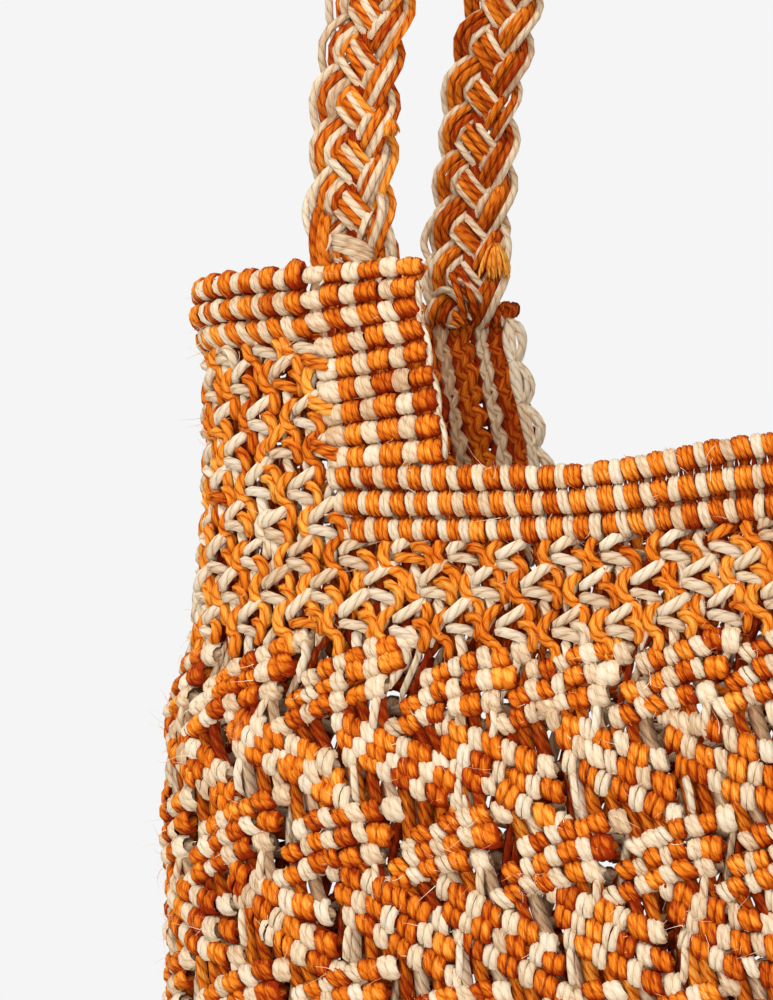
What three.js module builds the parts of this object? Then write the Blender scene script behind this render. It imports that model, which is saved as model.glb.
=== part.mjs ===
// A knotted jute shopper bag: a soft open-topped body with raised ends, corded rims and two braided handles.
// Millimetres, +Z up, the front faces -Y, and the origin is the middle of the flat base.

import * as THREE from 'three';

// Plan outline, a superellipse, and how the knotting is spaced around it
const HALF_WIDTH = 205;
const HALF_DEPTH = 64;
const PLAN_POWER = 3;
const COLUMN_COUNT = 28;
const COLUMN_PHASE = 0.17;
const SIDE_STRETCH = 0.12; // columns are this share wider at the ends, and narrower at mid front and mid back

// Heights of the zones
const WAVE_BOTTOM = 6;
const WAVE_TOP = 248;
const PERIOD_COUNT = 5; // a period is one block of rising rows above one block of falling rows
const RIM_BOTTOM = 275;
const RIM_TOP = 297; // at the low points beside the handle tabs
const RIM_MIDDLE_RISE = 9; // the rim swells upward at the middle of front and back
const RIM_DIP_X = 76;
const RIM_END_RISE = 2.5;
const SIDE_BAND_BOTTOM = 335;
const SIDE_TOP = 357;

// Handle tabs, as distances around the wall from the middle of the side
const TAB_OUTER_BOTTOM = 92.7;
const TAB_OUTER_TOP = 81;
const TAB_INNER_BOTTOM = 125;
const TAB_INNER_TOP = 117.6;

// Braided handles
const FRONT_HANDLE_HALF_SPAN = 137;
const BACK_HANDLE_HALF_SPAN = 130;
const HANDLE_RISE = 188;
const HANDLE_POWER = 2.4;
const HANDLE_WIDTH = 26;
const HANDLE_THICKNESS = 15;
const HANDLE_SIDES = 8;
const HANDLE_STEPS = 32;

// Walls are knotted cord, a wrapped core three cords thick
const WALL = 6;
const NET_WALL = 5;
const RIM_WALL = 7.5;
const BASE_THICKNESS = 6;
const CLEARANCE = 0.3; // between neighbouring pieces
const SLOT_WIDTH = 5;
const SLANT = 4.5; // how far a block's rows rise or fall over half their length
const BLOCK_RELIEF = 1; // blocks stand out, and the joints between them sink in
const JOINT_RELIEF = -1.5;
const SLOTTED_PERIODS = 3; // the upper periods, whose slots show daylight

const NATURAL_ORANGE = 0xd9701f;
const MIXED_ORANGE = 0xdb8a45;
const CREAM = 0xe3c9a0;

// Half width and half depth of the outer face at each height, fuller below the net and at the corded top
const SECTIONS = [
  { height: 0, halfWidth: 187, halfDepth: 50 },
  { height: 6, halfWidth: 196, halfDepth: 57 },
  { height: 20, halfWidth: 202, halfDepth: 61.5 },
  { height: 60, halfWidth: 204.5, halfDepth: 64 },
  { height: 140, halfWidth: HALF_WIDTH, halfDepth: 65 },
  { height: 225, halfWidth: HALF_WIDTH, halfDepth: HALF_DEPTH },
  { height: 246, halfWidth: 200, halfDepth: 62 },
  { height: 256, halfWidth: 197, halfDepth: 61 },
  { height: 300, halfWidth: 195, halfDepth: 61.5 },
  { height: 333, halfWidth: 194.5, halfDepth: 60.5 },
  { height: 346, halfWidth: 198.5, halfDepth: 61.5 },
  { height: 358, halfWidth: 197.5, halfDepth: 61 },
];

const PERIOD = (WAVE_TOP - WAVE_BOTTOM) / PERIOD_COUNT;

const mix = THREE.MathUtils.lerp;

function sectionAt(height) {
  const upper = Math.max(1, SECTIONS.findIndex((section) => section.height >= height));
  const above = SECTIONS[upper];
  const below = SECTIONS[upper - 1];
  const share = THREE.MathUtils.smoothstep(height, below.height, above.height);
  return {
    halfWidth: mix(below.halfWidth, above.halfWidth, share),
    halfDepth: mix(below.halfDepth, above.halfDepth, share),
  };
}

function outlinePoint(angle, { halfWidth, halfDepth }) {
  const across = Math.abs(Math.cos(angle) / halfWidth) ** PLAN_POWER;
  const deep = Math.abs(Math.sin(angle) / halfDepth) ** PLAN_POWER;
  const radius = (across + deep) ** (-1 / PLAN_POWER);
  return new THREE.Vector2(radius * Math.cos(angle), radius * Math.sin(angle));
}

// Distance around the outline from the middle of the left end, by the front, against the angle there
const OUTLINE_SAMPLES = 2880;
const fullSection = { halfWidth: HALF_WIDTH, halfDepth: HALF_DEPTH };
const outlineTable = [{ distance: 0, angle: Math.PI }];
for (let i = 1; i <= OUTLINE_SAMPLES; i++) {
  const last = outlineTable[i - 1];
  const angle = Math.PI * (1 + (2 * i) / OUTLINE_SAMPLES);
  const step = outlinePoint(angle, fullSection).distanceTo(outlinePoint(last.angle, fullSection));
  outlineTable.push({ distance: last.distance + step, angle });
}
const PERIMETER = outlineTable[OUTLINE_SAMPLES].distance;

function angleAt(distance) {
  const wrapped = THREE.MathUtils.euclideanModulo(distance, PERIMETER);
  let low = 0;
  let high = OUTLINE_SAMPLES;
  while (high - low > 1) {
    const middle = (low + high) >> 1;
    if (outlineTable[middle].distance > wrapped) high = middle;
    else low = middle;
  }
  const [before, after] = [outlineTable[low], outlineTable[high]];
  const share = (wrapped - before.distance) / (after.distance - before.distance);
  return mix(before.angle, after.angle, share);
}

function outlineNormal({ x, y }, { halfWidth, halfDepth }) {
  const across = (Math.sign(x) * Math.abs(x) ** (PLAN_POWER - 1)) / halfWidth ** PLAN_POWER;
  const deep = (Math.sign(y) * Math.abs(y) ** (PLAN_POWER - 1)) / halfDepth ** PLAN_POWER;
  return new THREE.Vector2(across, deep).normalize();
}

// A point of the wall: a distance around it, a height, and how far outside the outer face it lies
function wallPoint(distance, height, outward = 0) {
  const section = sectionAt(height);
  const onFace = outlinePoint(angleAt(distance), section);
  const place = onFace.clone().addScaledVector(outlineNormal(onFace, section), outward);
  return new THREE.Vector3(place.x, place.y, height);
}

// How far the outline turns between two distances around it, in radians
function turnBetween(from, to) {
  const [first, second] = [from, to].map((distance) => {
    return outlineNormal(outlinePoint(angleAt(distance), fullSection), fullSection);
  });
  return Math.acos(THREE.MathUtils.clamp(first.dot(second), -1, 1));
}

// Distance around the wall of a place counted in columns
function columnDistance(column) {
  const turn = column / COLUMN_COUNT;
  return PERIMETER * (turn + (SIDE_STRETCH / (4 * Math.PI)) * Math.sin(4 * Math.PI * turn));
}

function rimRise(distance) {
  const x = Math.abs(wallPoint(distance, RIM_TOP).x);
  if (x < RIM_DIP_X) return RIM_MIDDLE_RISE * Math.cos((Math.PI * x) / (2 * RIM_DIP_X)) ** 2;
  return RIM_END_RISE * Math.min(1, ((x - RIM_DIP_X) / (FRONT_HANDLE_HALF_SPAN - RIM_DIP_X)) ** 2);
}

const rimTop = (distance) => RIM_TOP + rimRise(distance);
const rimBottom = (distance) => RIM_BOTTOM + rimRise(distance) / 2;

// The slanting outer and inner edges of a handle tab, as distances from the middle of the side
function tabEdge(bottom, top, height) {
  return mix(bottom, top, (height - RIM_BOTTOM) / (SIDE_TOP - RIM_BOTTOM));
}
const tabOuterEdge = (height) => tabEdge(TAB_OUTER_BOTTOM, TAB_OUTER_TOP, height);
const tabInnerEdge = (height) => tabEdge(TAB_INNER_BOTTOM, TAB_INNER_TOP, height);

// A closed wall on a grid of cells. Each grid point has an outer and an inner place, and cells can be open.
function wallGeometry({ columns, rows, closed = false, outer, inner, isOpen = () => false, base = null }) {
  const positions = [];
  const triangles = [];
  const lineCount = closed ? columns : columns + 1;
  const indexes = new Map();
  const vertex = (face, column, row) => {
    const line = column % lineCount;
    const key = `${face.name} ${line} ${row}`;
    if (!indexes.has(key)) {
      indexes.set(key, positions.length / 3);
      positions.push(...face(line, row).toArray());
    }
    return indexes.get(key);
  };
  const quad = (a, b, c, d) => triangles.push(a, b, c, a, c, d);
  const isSolid = (column, row) => {
    if (row < 0 || row >= rows) return false;
    if (!closed && (column < 0 || column >= columns)) return false;
    return !isOpen((column + columns) % columns, row);
  };
  for (let i = 0; i < columns; i++) {
    for (let j = 0; j < rows; j++) {
      if (!isSolid(i, j)) continue;
      const corners = [[i, j], [i + 1, j], [i + 1, j + 1], [i, j + 1]];
      const [o00, o10, o11, o01] = corners.map((corner) => vertex(outer, ...corner));
      const [n00, n10, n11, n01] = corners.map((corner) => vertex(inner, ...corner));
      quad(o00, o10, o11, o01);
      quad(n10, n00, n01, n11);
      if (!isSolid(i, j - 1) && !(base && j === 0)) quad(o10, o00, n00, n10);
      if (!isSolid(i, j + 1)) quad(o01, o11, n11, n01);
      if (!isSolid(i - 1, j)) quad(o00, o01, n01, n00);
      if (!isSolid(i + 1, j)) quad(o11, o10, n10, n11);
    }
  }
  if (base) {
    const under = positions.length / 3;
    positions.push(0, 0, 0, 0, 0, base.thickness);
    for (let i = 0; i < columns; i++) {
      triangles.push(vertex(outer, i + 1, 0), vertex(outer, i, 0), under);
      triangles.push(vertex(inner, i, 0), vertex(inner, i + 1, 0), under + 1);
    }
  }
  const geometry = new THREE.BufferGeometry();
  geometry.setAttribute('position', new THREE.Float32BufferAttribute(positions, 3));
  geometry.setIndex(triangles);
  geometry.computeVertexNormals();
  return geometry;
}

const bag = new THREE.Group();
bag.name = 'shopper_bag';

function addPiece(name, geometry, color) {
  const material = new THREE.MeshStandardMaterial({ color, roughness: 0.9, metalness: 0 });
  const piece = new THREE.Mesh(geometry, material);
  piece.name = name;
  bag.add(piece);
}

// Grid lines of the body: both sides of the slot between two columns, and one more where the wall turns
const SHARP_TURN = Math.PI / 10;
const bodyLines = [];
for (let column = 0; column < COLUMN_COUNT; column++) {
  const middle = columnDistance(column + COLUMN_PHASE);
  const nextMiddle = columnDistance(column + 1 + COLUMN_PHASE);
  bodyLines.push(
    { distance: middle - SLOT_WIDTH / 2, slant: 1, startsSlot: true },
    { distance: middle + SLOT_WIDTH / 2, slant: -1, startsSlot: false },
  );
  if (turnBetween(middle, nextMiddle) > SHARP_TURN) {
    bodyLines.push({ distance: (middle + nextMiddle) / 2, slant: 0, startsSlot: false });
  }
}

// Rows of one period, upward from its lower joint, as shares of the period
const PERIOD_ROWS = [
  { share: 0, relief: JOINT_RELIEF, slanted: false, slotAbove: false },
  { share: 0.25, relief: BLOCK_RELIEF, slanted: false, slotAbove: false },
  { share: 0.5, relief: JOINT_RELIEF, slanted: true, slotAbove: true },
  { share: 0.84, relief: BLOCK_RELIEF, slanted: true, slotAbove: false },
];

// The wave body: walls of slanting knotted blocks with slots between them, closed by the base
function waveBodyGeometry() {
  const lines = [{ height: 0, relief: 0, slanted: false, slotAbove: false }];
  for (let period = 0; period < PERIOD_COUNT; period++) {
    for (const { share, relief, slanted, slotAbove } of PERIOD_ROWS) {
      const slotted = slotAbove && period >= PERIOD_COUNT - SLOTTED_PERIODS;
      lines.push({ height: WAVE_BOTTOM + PERIOD * (period + share), relief, slanted, slotAbove: slotted });
    }
  }
  lines.push({ height: WAVE_TOP - CLEARANCE / 2, relief: 0, slanted: false, slotAbove: false });

  const heightAt = (column, row) => {
    const lean = lines[row].slanted ? SLANT * bodyLines[column].slant : 0;
    return lines[row].height + lean;
  };
  function outer(column, row) {
    return wallPoint(bodyLines[column].distance, heightAt(column, row), lines[row].relief);
  }
  function inner(column, row) {
    const point = wallPoint(bodyLines[column].distance, heightAt(column, row), lines[row].relief - WALL);
    point.z = Math.max(point.z, BASE_THICKNESS + row); // the inner floor lies above the base
    return point;
  }
  return wallGeometry({
    columns: bodyLines.length,
    rows: lines.length - 1,
    closed: true,
    outer,
    inner,
    isOpen: (column, row) => bodyLines[column].startsSlot && lines[row].slotAbove,
    base: { thickness: BASE_THICKNESS },
  });
}

// The net ring under the rims, pierced once between neighbouring columns
function netRingGeometry() {
  const shares = [0, 0.3, 0.7, 1];
  const heightAt = (column, row) => {
    const top = rimBottom(bodyLines[column].distance) - 2 * CLEARANCE;
    return mix(WAVE_TOP + CLEARANCE / 2, top, shares[row]);
  };
  function outer(column, row) {
    return wallPoint(bodyLines[column].distance, heightAt(column, row));
  }
  function inner(column, row) {
    return wallPoint(bodyLines[column].distance, heightAt(column, row), -NET_WALL);
  }
  return wallGeometry({
    columns: bodyLines.length,
    rows: shares.length - 1,
    closed: true,
    outer,
    inner,
    isOpen: (column, row) => bodyLines[column].startsSlot && row === 1,
  });
}

const evenShares = (count) => Array.from({ length: count + 1 }, (_, i) => i / count);

// A stretch of wall between two edges, ridged by its corded rows
function stretchGeometry({ shares, from, to, bottom, top, cords, ridge, wall, isOpen }) {
  const lines = [];
  for (let cord = 0; cord < cords; cord++) {
    for (const { share, swell } of ridge) lines.push({ share: (cord + share) / cords, swell });
  }
  lines.push({ share: 1, swell: ridge[0].swell });
  const place = (column, row, outward) => {
    const middle = mix(from(RIM_TOP), to(RIM_TOP), shares[column]);
    const height = mix(bottom(middle), top(middle), lines[row].share);
    return wallPoint(mix(from(height), to(height), shares[column]), height, outward);
  };
  function outer(column, row) {
    return place(column, row, lines[row].swell);
  }
  function inner(column, row) {
    return place(column, row, -wall - lines[row].swell);
  }
  return wallGeometry({ columns: shares.length - 1, rows: lines.length - 1, outer, inner, isOpen });
}

const FLAT = [{ share: 0, swell: 0 }];
const THIN_CORDS = [{ share: 0, swell: -0.8 }, { share: 0.5, swell: 0.8 }];
const FAT_CORDS = [{ share: 0, swell: -1.2 }, { share: 0.3, swell: 0.8 }, { share: 0.7, swell: 0.8 }];

const level = (height) => () => height;

// The side nets have a few gaps between their knots, each between two close lines of the grid
const SIDE_GAP_COUNT = 4;
const SIDE_GAP_PITCH = 1 / (SIDE_GAP_COUNT + 1);
const SIDE_GAP_HALF = SLOT_WIDTH / 2 / (2 * TAB_OUTER_BOTTOM);
const sideNetShares = [0, SIDE_GAP_PITCH / 2];
for (let gap = 1; gap <= SIDE_GAP_COUNT; gap++) {
  const middle = gap * SIDE_GAP_PITCH;
  sideNetShares.push(middle - SIDE_GAP_HALF, middle + SIDE_GAP_HALF, middle + SIDE_GAP_PITCH / 2);
}
sideNetShares.push(1);
const isSideGap = (column, row) => row === 1 && column % 3 === 2;

// The raised ends, each with its net, its corded band and the tabs at the band's two ends
const RIM_CORDS = 3;
const TAB_CORDS = 9;
for (const [side, sideMiddle] of [['left', 0], ['right', PERIMETER / 2]]) {
  const reach = (height) => tabOuterEdge(height) - CLEARANCE;
  const edges = {
    from: (height) => sideMiddle - reach(height),
    to: (height) => sideMiddle + reach(height),
  };
  addPiece(`${side}_side_net`, stretchGeometry({
    ...edges,
    shares: sideNetShares,
    bottom: rimBottom,
    top: level(SIDE_BAND_BOTTOM - CLEARANCE),
    cords: 3,
    ridge: FLAT,
    wall: NET_WALL,
    isOpen: isSideGap,
  }), MIXED_ORANGE);
  addPiece(`${side}_side_band`, stretchGeometry({
    ...edges,
    shares: evenShares(10),
    bottom: level(SIDE_BAND_BOTTOM),
    top: level(SIDE_TOP),
    cords: RIM_CORDS,
    ridge: FAT_CORDS,
    wall: WALL,
  }), CREAM);
  for (const [face, turn] of [['front', side === 'left' ? 1 : -1], ['back', side === 'left' ? -1 : 1]]) {
    const outerEdge = (height) => sideMiddle + turn * tabOuterEdge(height);
    const innerEdge = (height) => sideMiddle + turn * tabInnerEdge(height);
    addPiece(`${face}_${side}_tab`, stretchGeometry({
      shares: evenShares(3),
      from: turn > 0 ? outerEdge : innerEdge,
      to: turn > 0 ? innerEdge : outerEdge,
      bottom: (distance) => rimTop(distance) + CLEARANCE,
      top: level(SIDE_TOP),
      cords: TAB_CORDS,
      ridge: THIN_CORDS,
      wall: WALL,
    }), NATURAL_ORANGE);
  }
}

// The rims, which run under the tabs at both ends
for (const [face, start] of [['front', 0], ['back', PERIMETER / 2]]) {
  addPiece(`${face}_rim`, stretchGeometry({
    shares: evenShares(14),
    from: (height) => start + tabOuterEdge(height),
    to: (height) => start + PERIMETER / 2 - tabOuterEdge(height),
    bottom: rimBottom,
    top: rimTop,
    cords: RIM_CORDS,
    ridge: FAT_CORDS,
    wall: RIM_WALL,
  }), CREAM);
}

addPiece('wave_body', waveBodyGeometry(), NATURAL_ORANGE);
addPiece('net_ring', netRingGeometry(), MIXED_ORANGE);

// The arch that a handle follows from one tab to the other, in the plane of that tab's wall
class HandleArch extends THREE.Curve {
  constructor(halfSpan, depth) {
    super();
    this.halfSpan = halfSpan;
    this.depth = depth;
  }

  getPoint(t) {
    const turn = Math.PI * (1 - t);
    const across = Math.abs(Math.cos(turn) / this.halfSpan) ** HANDLE_POWER;
    const upward = Math.abs(Math.sin(turn) / HANDLE_RISE) ** HANDLE_POWER;
    const radius = (across + upward) ** (-1 / HANDLE_POWER);
    const height = SIDE_TOP + CLEARANCE + radius * Math.max(0, Math.sin(turn));
    return new THREE.Vector3(radius * Math.cos(turn), this.depth, height);
  }
}

const braidSection = new THREE.Shape();
for (let i = 0; i < HANDLE_SIDES; i++) {
  const angle = (2 * Math.PI * (i + 0.5)) / HANDLE_SIDES;
  const corner = [(HANDLE_THICKNESS / 2) * Math.cos(angle), (HANDLE_WIDTH / 2) * Math.sin(angle)];
  if (i === 0) braidSection.moveTo(...corner);
  else braidSection.lineTo(...corner);
}
braidSection.closePath();

const tabMiddle = (TAB_OUTER_TOP + TAB_INNER_TOP) / 2;
const HANDLES = [
  { face: 'front', distance: tabMiddle, halfSpan: FRONT_HANDLE_HALF_SPAN },
  { face: 'back', distance: -tabMiddle, halfSpan: BACK_HANDLE_HALF_SPAN },
];
for (const { face, distance, halfSpan } of HANDLES) {
  const depth = wallPoint(distance, SIDE_TOP, -WALL / 2).y;
  const handle = new THREE.ExtrudeGeometry(braidSection, {
    steps: HANDLE_STEPS,
    bevelEnabled: false,
    extrudePath: new HandleArch(halfSpan, depth),
  });
  addPiece(`${face}_handle`, handle, MIXED_ORANGE);
}

export default bag;
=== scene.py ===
# A knotted jute shopper bag: its cords, knots and braids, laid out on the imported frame.
import math

import bpy
import numpy as np
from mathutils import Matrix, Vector


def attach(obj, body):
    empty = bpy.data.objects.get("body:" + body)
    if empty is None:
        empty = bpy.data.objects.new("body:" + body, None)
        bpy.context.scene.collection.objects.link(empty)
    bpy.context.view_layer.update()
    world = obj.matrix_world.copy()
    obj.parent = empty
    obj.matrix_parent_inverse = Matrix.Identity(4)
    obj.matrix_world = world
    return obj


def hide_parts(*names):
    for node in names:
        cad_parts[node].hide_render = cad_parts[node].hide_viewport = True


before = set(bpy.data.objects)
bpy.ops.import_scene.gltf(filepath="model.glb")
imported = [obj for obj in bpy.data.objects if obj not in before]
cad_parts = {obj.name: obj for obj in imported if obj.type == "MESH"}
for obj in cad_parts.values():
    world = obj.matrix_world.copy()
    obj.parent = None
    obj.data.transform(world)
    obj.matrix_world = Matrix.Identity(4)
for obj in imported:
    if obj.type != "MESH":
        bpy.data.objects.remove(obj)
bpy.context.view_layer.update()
random = np.random.default_rng(11)

MM = 0.001  # sizes below are in millimetres, and Blender works in metres
CREAM, ORANGE = 0, 1

# Plan outline and columns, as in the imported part
HALF_WIDTH = 205
HALF_DEPTH = 64
PLAN_POWER = 3
COLUMN_COUNT = 28
SIDE_STRETCH = 0.12

# Heights of the zones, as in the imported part
WAVE_TOP = 248
RIM_BOTTOM = 275
RIM_TOP = 297
RIM_MIDDLE_RISE = 9
RIM_DIP_X = 76
RIM_END_RISE = 2.5
SIDE_BAND_BOTTOM = 335
SIDE_TOP = 357

# Handle tabs and handles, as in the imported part
TAB_OUTER_TOP = 81
TAB_INNER_TOP = 117.6
FRONT_HANDLE_HALF_SPAN = 137
BACK_HANDLE_HALF_SPAN = 130
HANDLE_RISE = 188
HANDLE_POWER = 2.4
HANDLE_BASE = 357.3
RIM_CORDS = 3
TAB_CORDS = 9

# Height, half width and half depth of the outer face
SECTIONS = np.array([
    (0, 187, 50),
    (6, 196, 57),
    (20, 202, 61.5),
    (60, 204.5, 64),
    (140, HALF_WIDTH, 65),
    (225, HALF_WIDTH, HALF_DEPTH),
    (246, 200, 62),
    (256, 197, 61),
    (300, 195, 61.5),
    (333, 194.5, 60.5),
    (346, 198.5, 61.5),
    (358, 197.5, 61),
])


def section_at(height):
    """Half width and half depth of the outer face at each height."""
    row = np.clip(np.searchsorted(SECTIONS[:, 0], height) - 1, 0, len(SECTIONS) - 2)
    low, high = SECTIONS[row], SECTIONS[row + 1]
    share = np.clip((height - low[..., 0]) / (high[..., 0] - low[..., 0]), 0, 1)
    share = (share * share * (3 - 2 * share))[..., None]
    section = low * (1 - share) + high * share
    return section[..., 1], section[..., 2]


def outline(angle, half_width, half_depth):
    """Points of the superellipse plan."""
    across = np.abs(np.cos(angle) / half_width) ** PLAN_POWER
    deep = np.abs(np.sin(angle) / half_depth) ** PLAN_POWER
    radius = (across + deep) ** (-1 / PLAN_POWER)
    return radius * np.cos(angle), radius * np.sin(angle)


# Distance around the outline from the middle of the left end, by the front, against the angle there
OUTLINE_POINTS = 2881
OUTLINE_ANGLES = np.linspace(math.pi, 3 * math.pi, OUTLINE_POINTS)
OUTLINE_STEPS = np.hypot(*np.diff(outline(OUTLINE_ANGLES, HALF_WIDTH, HALF_DEPTH)))
OUTLINE_DISTANCES = np.concatenate([[0], np.cumsum(OUTLINE_STEPS)])
PERIMETER = OUTLINE_DISTANCES[-1]
END_MIDDLES = {"left": 0, "right": PERIMETER / 2}

# The slack of the soft wall: waves round the bag, each as turns, height of a wave, size and phase
SLACK_WAVES = ((3, 190, 0.8, 0.4), (7, 120, 0.6, 2.1), (13, 75, 0.5, 4.0))


def slack(distance, height):
    """How far the soft wall stands out of its even form."""
    total = 0
    for turns, wave, size, phase in SLACK_WAVES:
        around = np.sin(2 * math.pi * turns * distance / PERIMETER + phase)
        total = total + size * around * np.sin(2 * math.pi * height / wave + 2 * phase)
    return total


def wall(distance, height, outward):
    """Points of the wall: how far around it, how high, and how far outside its outer face they lie."""
    angle = np.interp(np.mod(distance, PERIMETER), OUTLINE_DISTANCES, OUTLINE_ANGLES)
    half_width, half_depth = section_at(height)
    x, y = outline(angle, half_width, half_depth)
    across = np.sign(x) * np.abs(x) ** (PLAN_POWER - 1) / half_width**PLAN_POWER
    deep = np.sign(y) * np.abs(y) ** (PLAN_POWER - 1) / half_depth**PLAN_POWER
    reach = (outward + slack(distance, height)) / np.hypot(across, deep)
    return np.stack([x + across * reach, y + deep * reach, height + 0 * x], axis=-1)


def nearest(offset, period):
    """An offset that repeats with a period, as the one nearest to nothing."""
    return np.mod(offset + period / 2, period) - period / 2


def from_end(distance):
    """How far a place lies from the middle of the nearer end."""
    return np.abs(nearest(distance, PERIMETER / 2))


def column_distance(column):
    """Distance around the wall of a place counted in columns."""
    turn = column / COLUMN_COUNT
    return PERIMETER * (turn + SIDE_STRETCH / (4 * math.pi) * np.sin(4 * math.pi * turn))


def rim_rise(distance):
    """How far the rim is drawn up: most at mid front and mid back, and a little towards the tabs."""
    x = np.abs(wall(distance, np.full_like(distance, RIM_TOP), 0)[..., 0])
    swell = RIM_MIDDLE_RISE * np.cos(math.pi * x / (2 * RIM_DIP_X)) ** 2
    ends = RIM_END_RISE * np.minimum(1, ((x - RIM_DIP_X) / (FRONT_HANDLE_HALF_SPAN - RIM_DIP_X)) ** 2)
    return np.where(x < RIM_DIP_X, swell, ends)


def rim_top(distance):
    return RIM_TOP + rim_rise(distance)


def rim_bottom(distance):
    return RIM_BOTTOM + rim_rise(distance) / 2


# A tab's two edges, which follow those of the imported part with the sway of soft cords: heights, and
# distances from the middle of the end
TAB_HEIGHTS = (275, 300, 315, 331, 345, 357)
TAB_OUTER_LINE = (92, 84.5, 81.5, 78.5, 77, 76)
TAB_INNER_LINE = (125, 123.5, 120.5, 115.2, 114.6, 116)


def tab_outer_edge(height):
    return np.interp(height, TAB_HEIGHTS, TAB_OUTER_LINE)


def tab_inner_edge(height):
    return np.interp(height, TAB_HEIGHTS, TAB_INNER_LINE)


def grid_quads(grids, rows, columns):
    """Faces of equal grids of points that follow one another."""
    point = np.arange(rows * columns).reshape(rows, columns)
    corners = [point[:-1, :-1], point[:-1, 1:], point[1:, 1:], point[1:, :-1]]
    quads = np.stack(corners, axis=-1).reshape(-1, 4)
    return (np.arange(grids)[:, None, None] * rows * columns + quads).reshape(-1, 4)


CREAM_LOSS = 0.15  # pale cords lose only this share of the light that orange ones lose in crevices
GRAIN_START = 40  # the grain of a cord starts anywhere up to this
TONE_SPREAD = 0.25
SHADE_SPREAD = 0.05
LIGHTEST_SHADE = 1.3


class Bundle:
    """Strips and tubes of cord gathered into one mesh.

    Each point keeps its paint, which is orange or cream, tone and shade, and its grain, which is
    its place along and round the cord in millimetres. The shade is painted shade, less where a cord lies
    deep or in a crevice; it also varies a little from cord to cord.
    """

    def __init__(self):
        self.points = []
        self.quads = []
        self.paint = []
        self.grain = []
        self.count = 0

    def add_grids(self, points, paint, grain, depth=None):
        grids, rows, columns = points.shape[:3]
        self.points.append(points.reshape(-1, 3))
        self.quads.append(grid_quads(grids, rows, columns) + self.count)
        spread = np.repeat(paint, rows * columns, axis=0)
        if depth is not None:
            lost = np.broadcast_to(depth, (grids, rows, columns)).ravel()
            spread[:, 2] *= 1 - lost * np.where(spread[:, 0] > 0.5, 1, CREAM_LOSS)
        self.paint.append(spread)
        self.grain.append(grain.reshape(-1, 2))
        self.count += grids * rows * columns

    def piece(self, name, slot, nodes, material):
        """Makes the gathered cords one object, which rides on the bag and stands for the nodes."""
        points = np.concatenate(self.points) * MM
        corners = np.concatenate(self.quads).ravel().astype(np.int32)
        grain = np.concatenate(self.grain)[corners]
        paint = np.concatenate(self.paint)
        mesh = bpy.data.meshes.new(name)
        mesh.vertices.add(len(points))
        mesh.vertices.foreach_set("co", points.ravel())
        mesh.loops.add(len(corners))
        mesh.loops.foreach_set("vertex_index", corners)
        mesh.polygons.add(len(corners) // 4)
        mesh.polygons.foreach_set("loop_start", np.arange(0, len(corners), 4, dtype=np.int32))
        mesh.update(calc_edges=True)
        mesh.shade_smooth()
        colours = mesh.color_attributes.new("paint", "FLOAT_COLOR", "POINT")
        colours.data.foreach_set("color", np.column_stack([paint, np.ones(len(paint))]).ravel())
        mesh.uv_layers.new(name="grain").data.foreach_set("uv", grain.ravel())
        mesh.materials.append(material)
        piece = bpy.data.objects.new(name, mesh)
        bpy.context.scene.collection.objects.link(piece)
        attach(piece, "root")
        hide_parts(*nodes)


def varied_by(spreads, count):
    """A function that draws small differences round a middle, by the spreads in a table."""
    return lambda key, middle=0: random.normal(middle, spreads[key], count)


def paint_for(orange, shade=1.0):
    """Paint of cords: their colour, a tone that varies from cord to cord, and a shade, the painted shade
    given, which also varies a little from cord to cord.
    """
    count = len(orange)
    tone = np.clip(random.normal(0.5, TONE_SPREAD, count), 0, 1)
    shades = np.clip(random.normal(shade, SHADE_SPREAD, count), 0, LIGHTEST_SHADE)
    return np.column_stack([orange, tone, shades])


# Painted shade: how much of its shade a wrap loses where it goes round the core, at the sides of its
# hitch, at its own sides, and on its lower half, which is painted darker as if lit from above
CREVICE_ROUND = 0.34
CREVICE_ACROSS = 0.25
CREVICE_EDGE = 0.25
SHADE_BELOW = 0.2

# Wraps of cord round a row's core: lines along the wrap, and lines across it
OUTER_ARC = np.radians(np.linspace(-105, 105, 6))
OUTER_ACROSS = np.radians(np.array([-85, -32, 32, 85]))
FINE_ARC = np.radians(np.linspace(-110, 110, 7))
INNER_ARC = np.radians(np.linspace(75, 285, 4))
INNER_ACROSS = np.radians(np.array([-85, 0, 85]))


def add_wraps(bundle, wraps, arc, across, surface=wall):
    """Each wrap is a strip that bulges across its width and bends round the core of its row.

    A wrap has a place (s around the wall, z up and d outward), the slope of its row, the core's reach
    up and outward, the cord's radius, half the wrap's width, how far its top leans along the row, and
    its paint. Its part and share of its hitch tell how far the core is drawn in there, by the hitch's
    bead.
    """
    def column(key):
        return wraps[key][:, None, None]

    turn = arc[None, :, None]
    fold = across[None, None, :]
    bulge = column("cord") * np.cos(fold)
    aside = column("share") + column("part") * np.sin(fold)
    core = 1 - column("bead") * aside**2
    along = column("half") * np.sin(fold) + column("lean") * np.sin(turn)
    upward = (column("up") * core + bulge) * np.sin(turn)
    outward = (column("out") * core + bulge) * np.cos(turn)
    slope = np.arctan(column("slope"))
    distance = column("s") + along * np.cos(slope) - upward * np.sin(slope)
    height = column("z") + along * np.sin(slope) + upward * np.cos(slope)
    points = surface(distance, height, column("d") + outward)
    start = random.uniform(0, GRAIN_START, len(wraps["s"]))[:, None, None]
    grain = np.stack(np.broadcast_arrays(
        start + turn * (column("out") + column("cord")),
        start + fold * column("cord"),
    ), axis=-1)
    # painted shade in the crevices of the wrap and on its lower half
    depth = (
        CREVICE_ROUND * np.abs(np.sin(turn)) ** 4
        + CREVICE_ACROSS * np.abs(aside) ** 6
        + CREVICE_EDGE * np.abs(np.sin(fold)) ** 6
        + SHADE_BELOW * np.maximum(0, -np.sin(turn))
    )
    bundle.add_grids(points, wraps["paint"], grain, depth)


def chosen(wraps, which):
    return {key: values[which] for key, values in wraps.items()}


def gathered(parts):
    return {key: np.concatenate([part[key] for part in parts]) for key in parts[0]}


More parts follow.
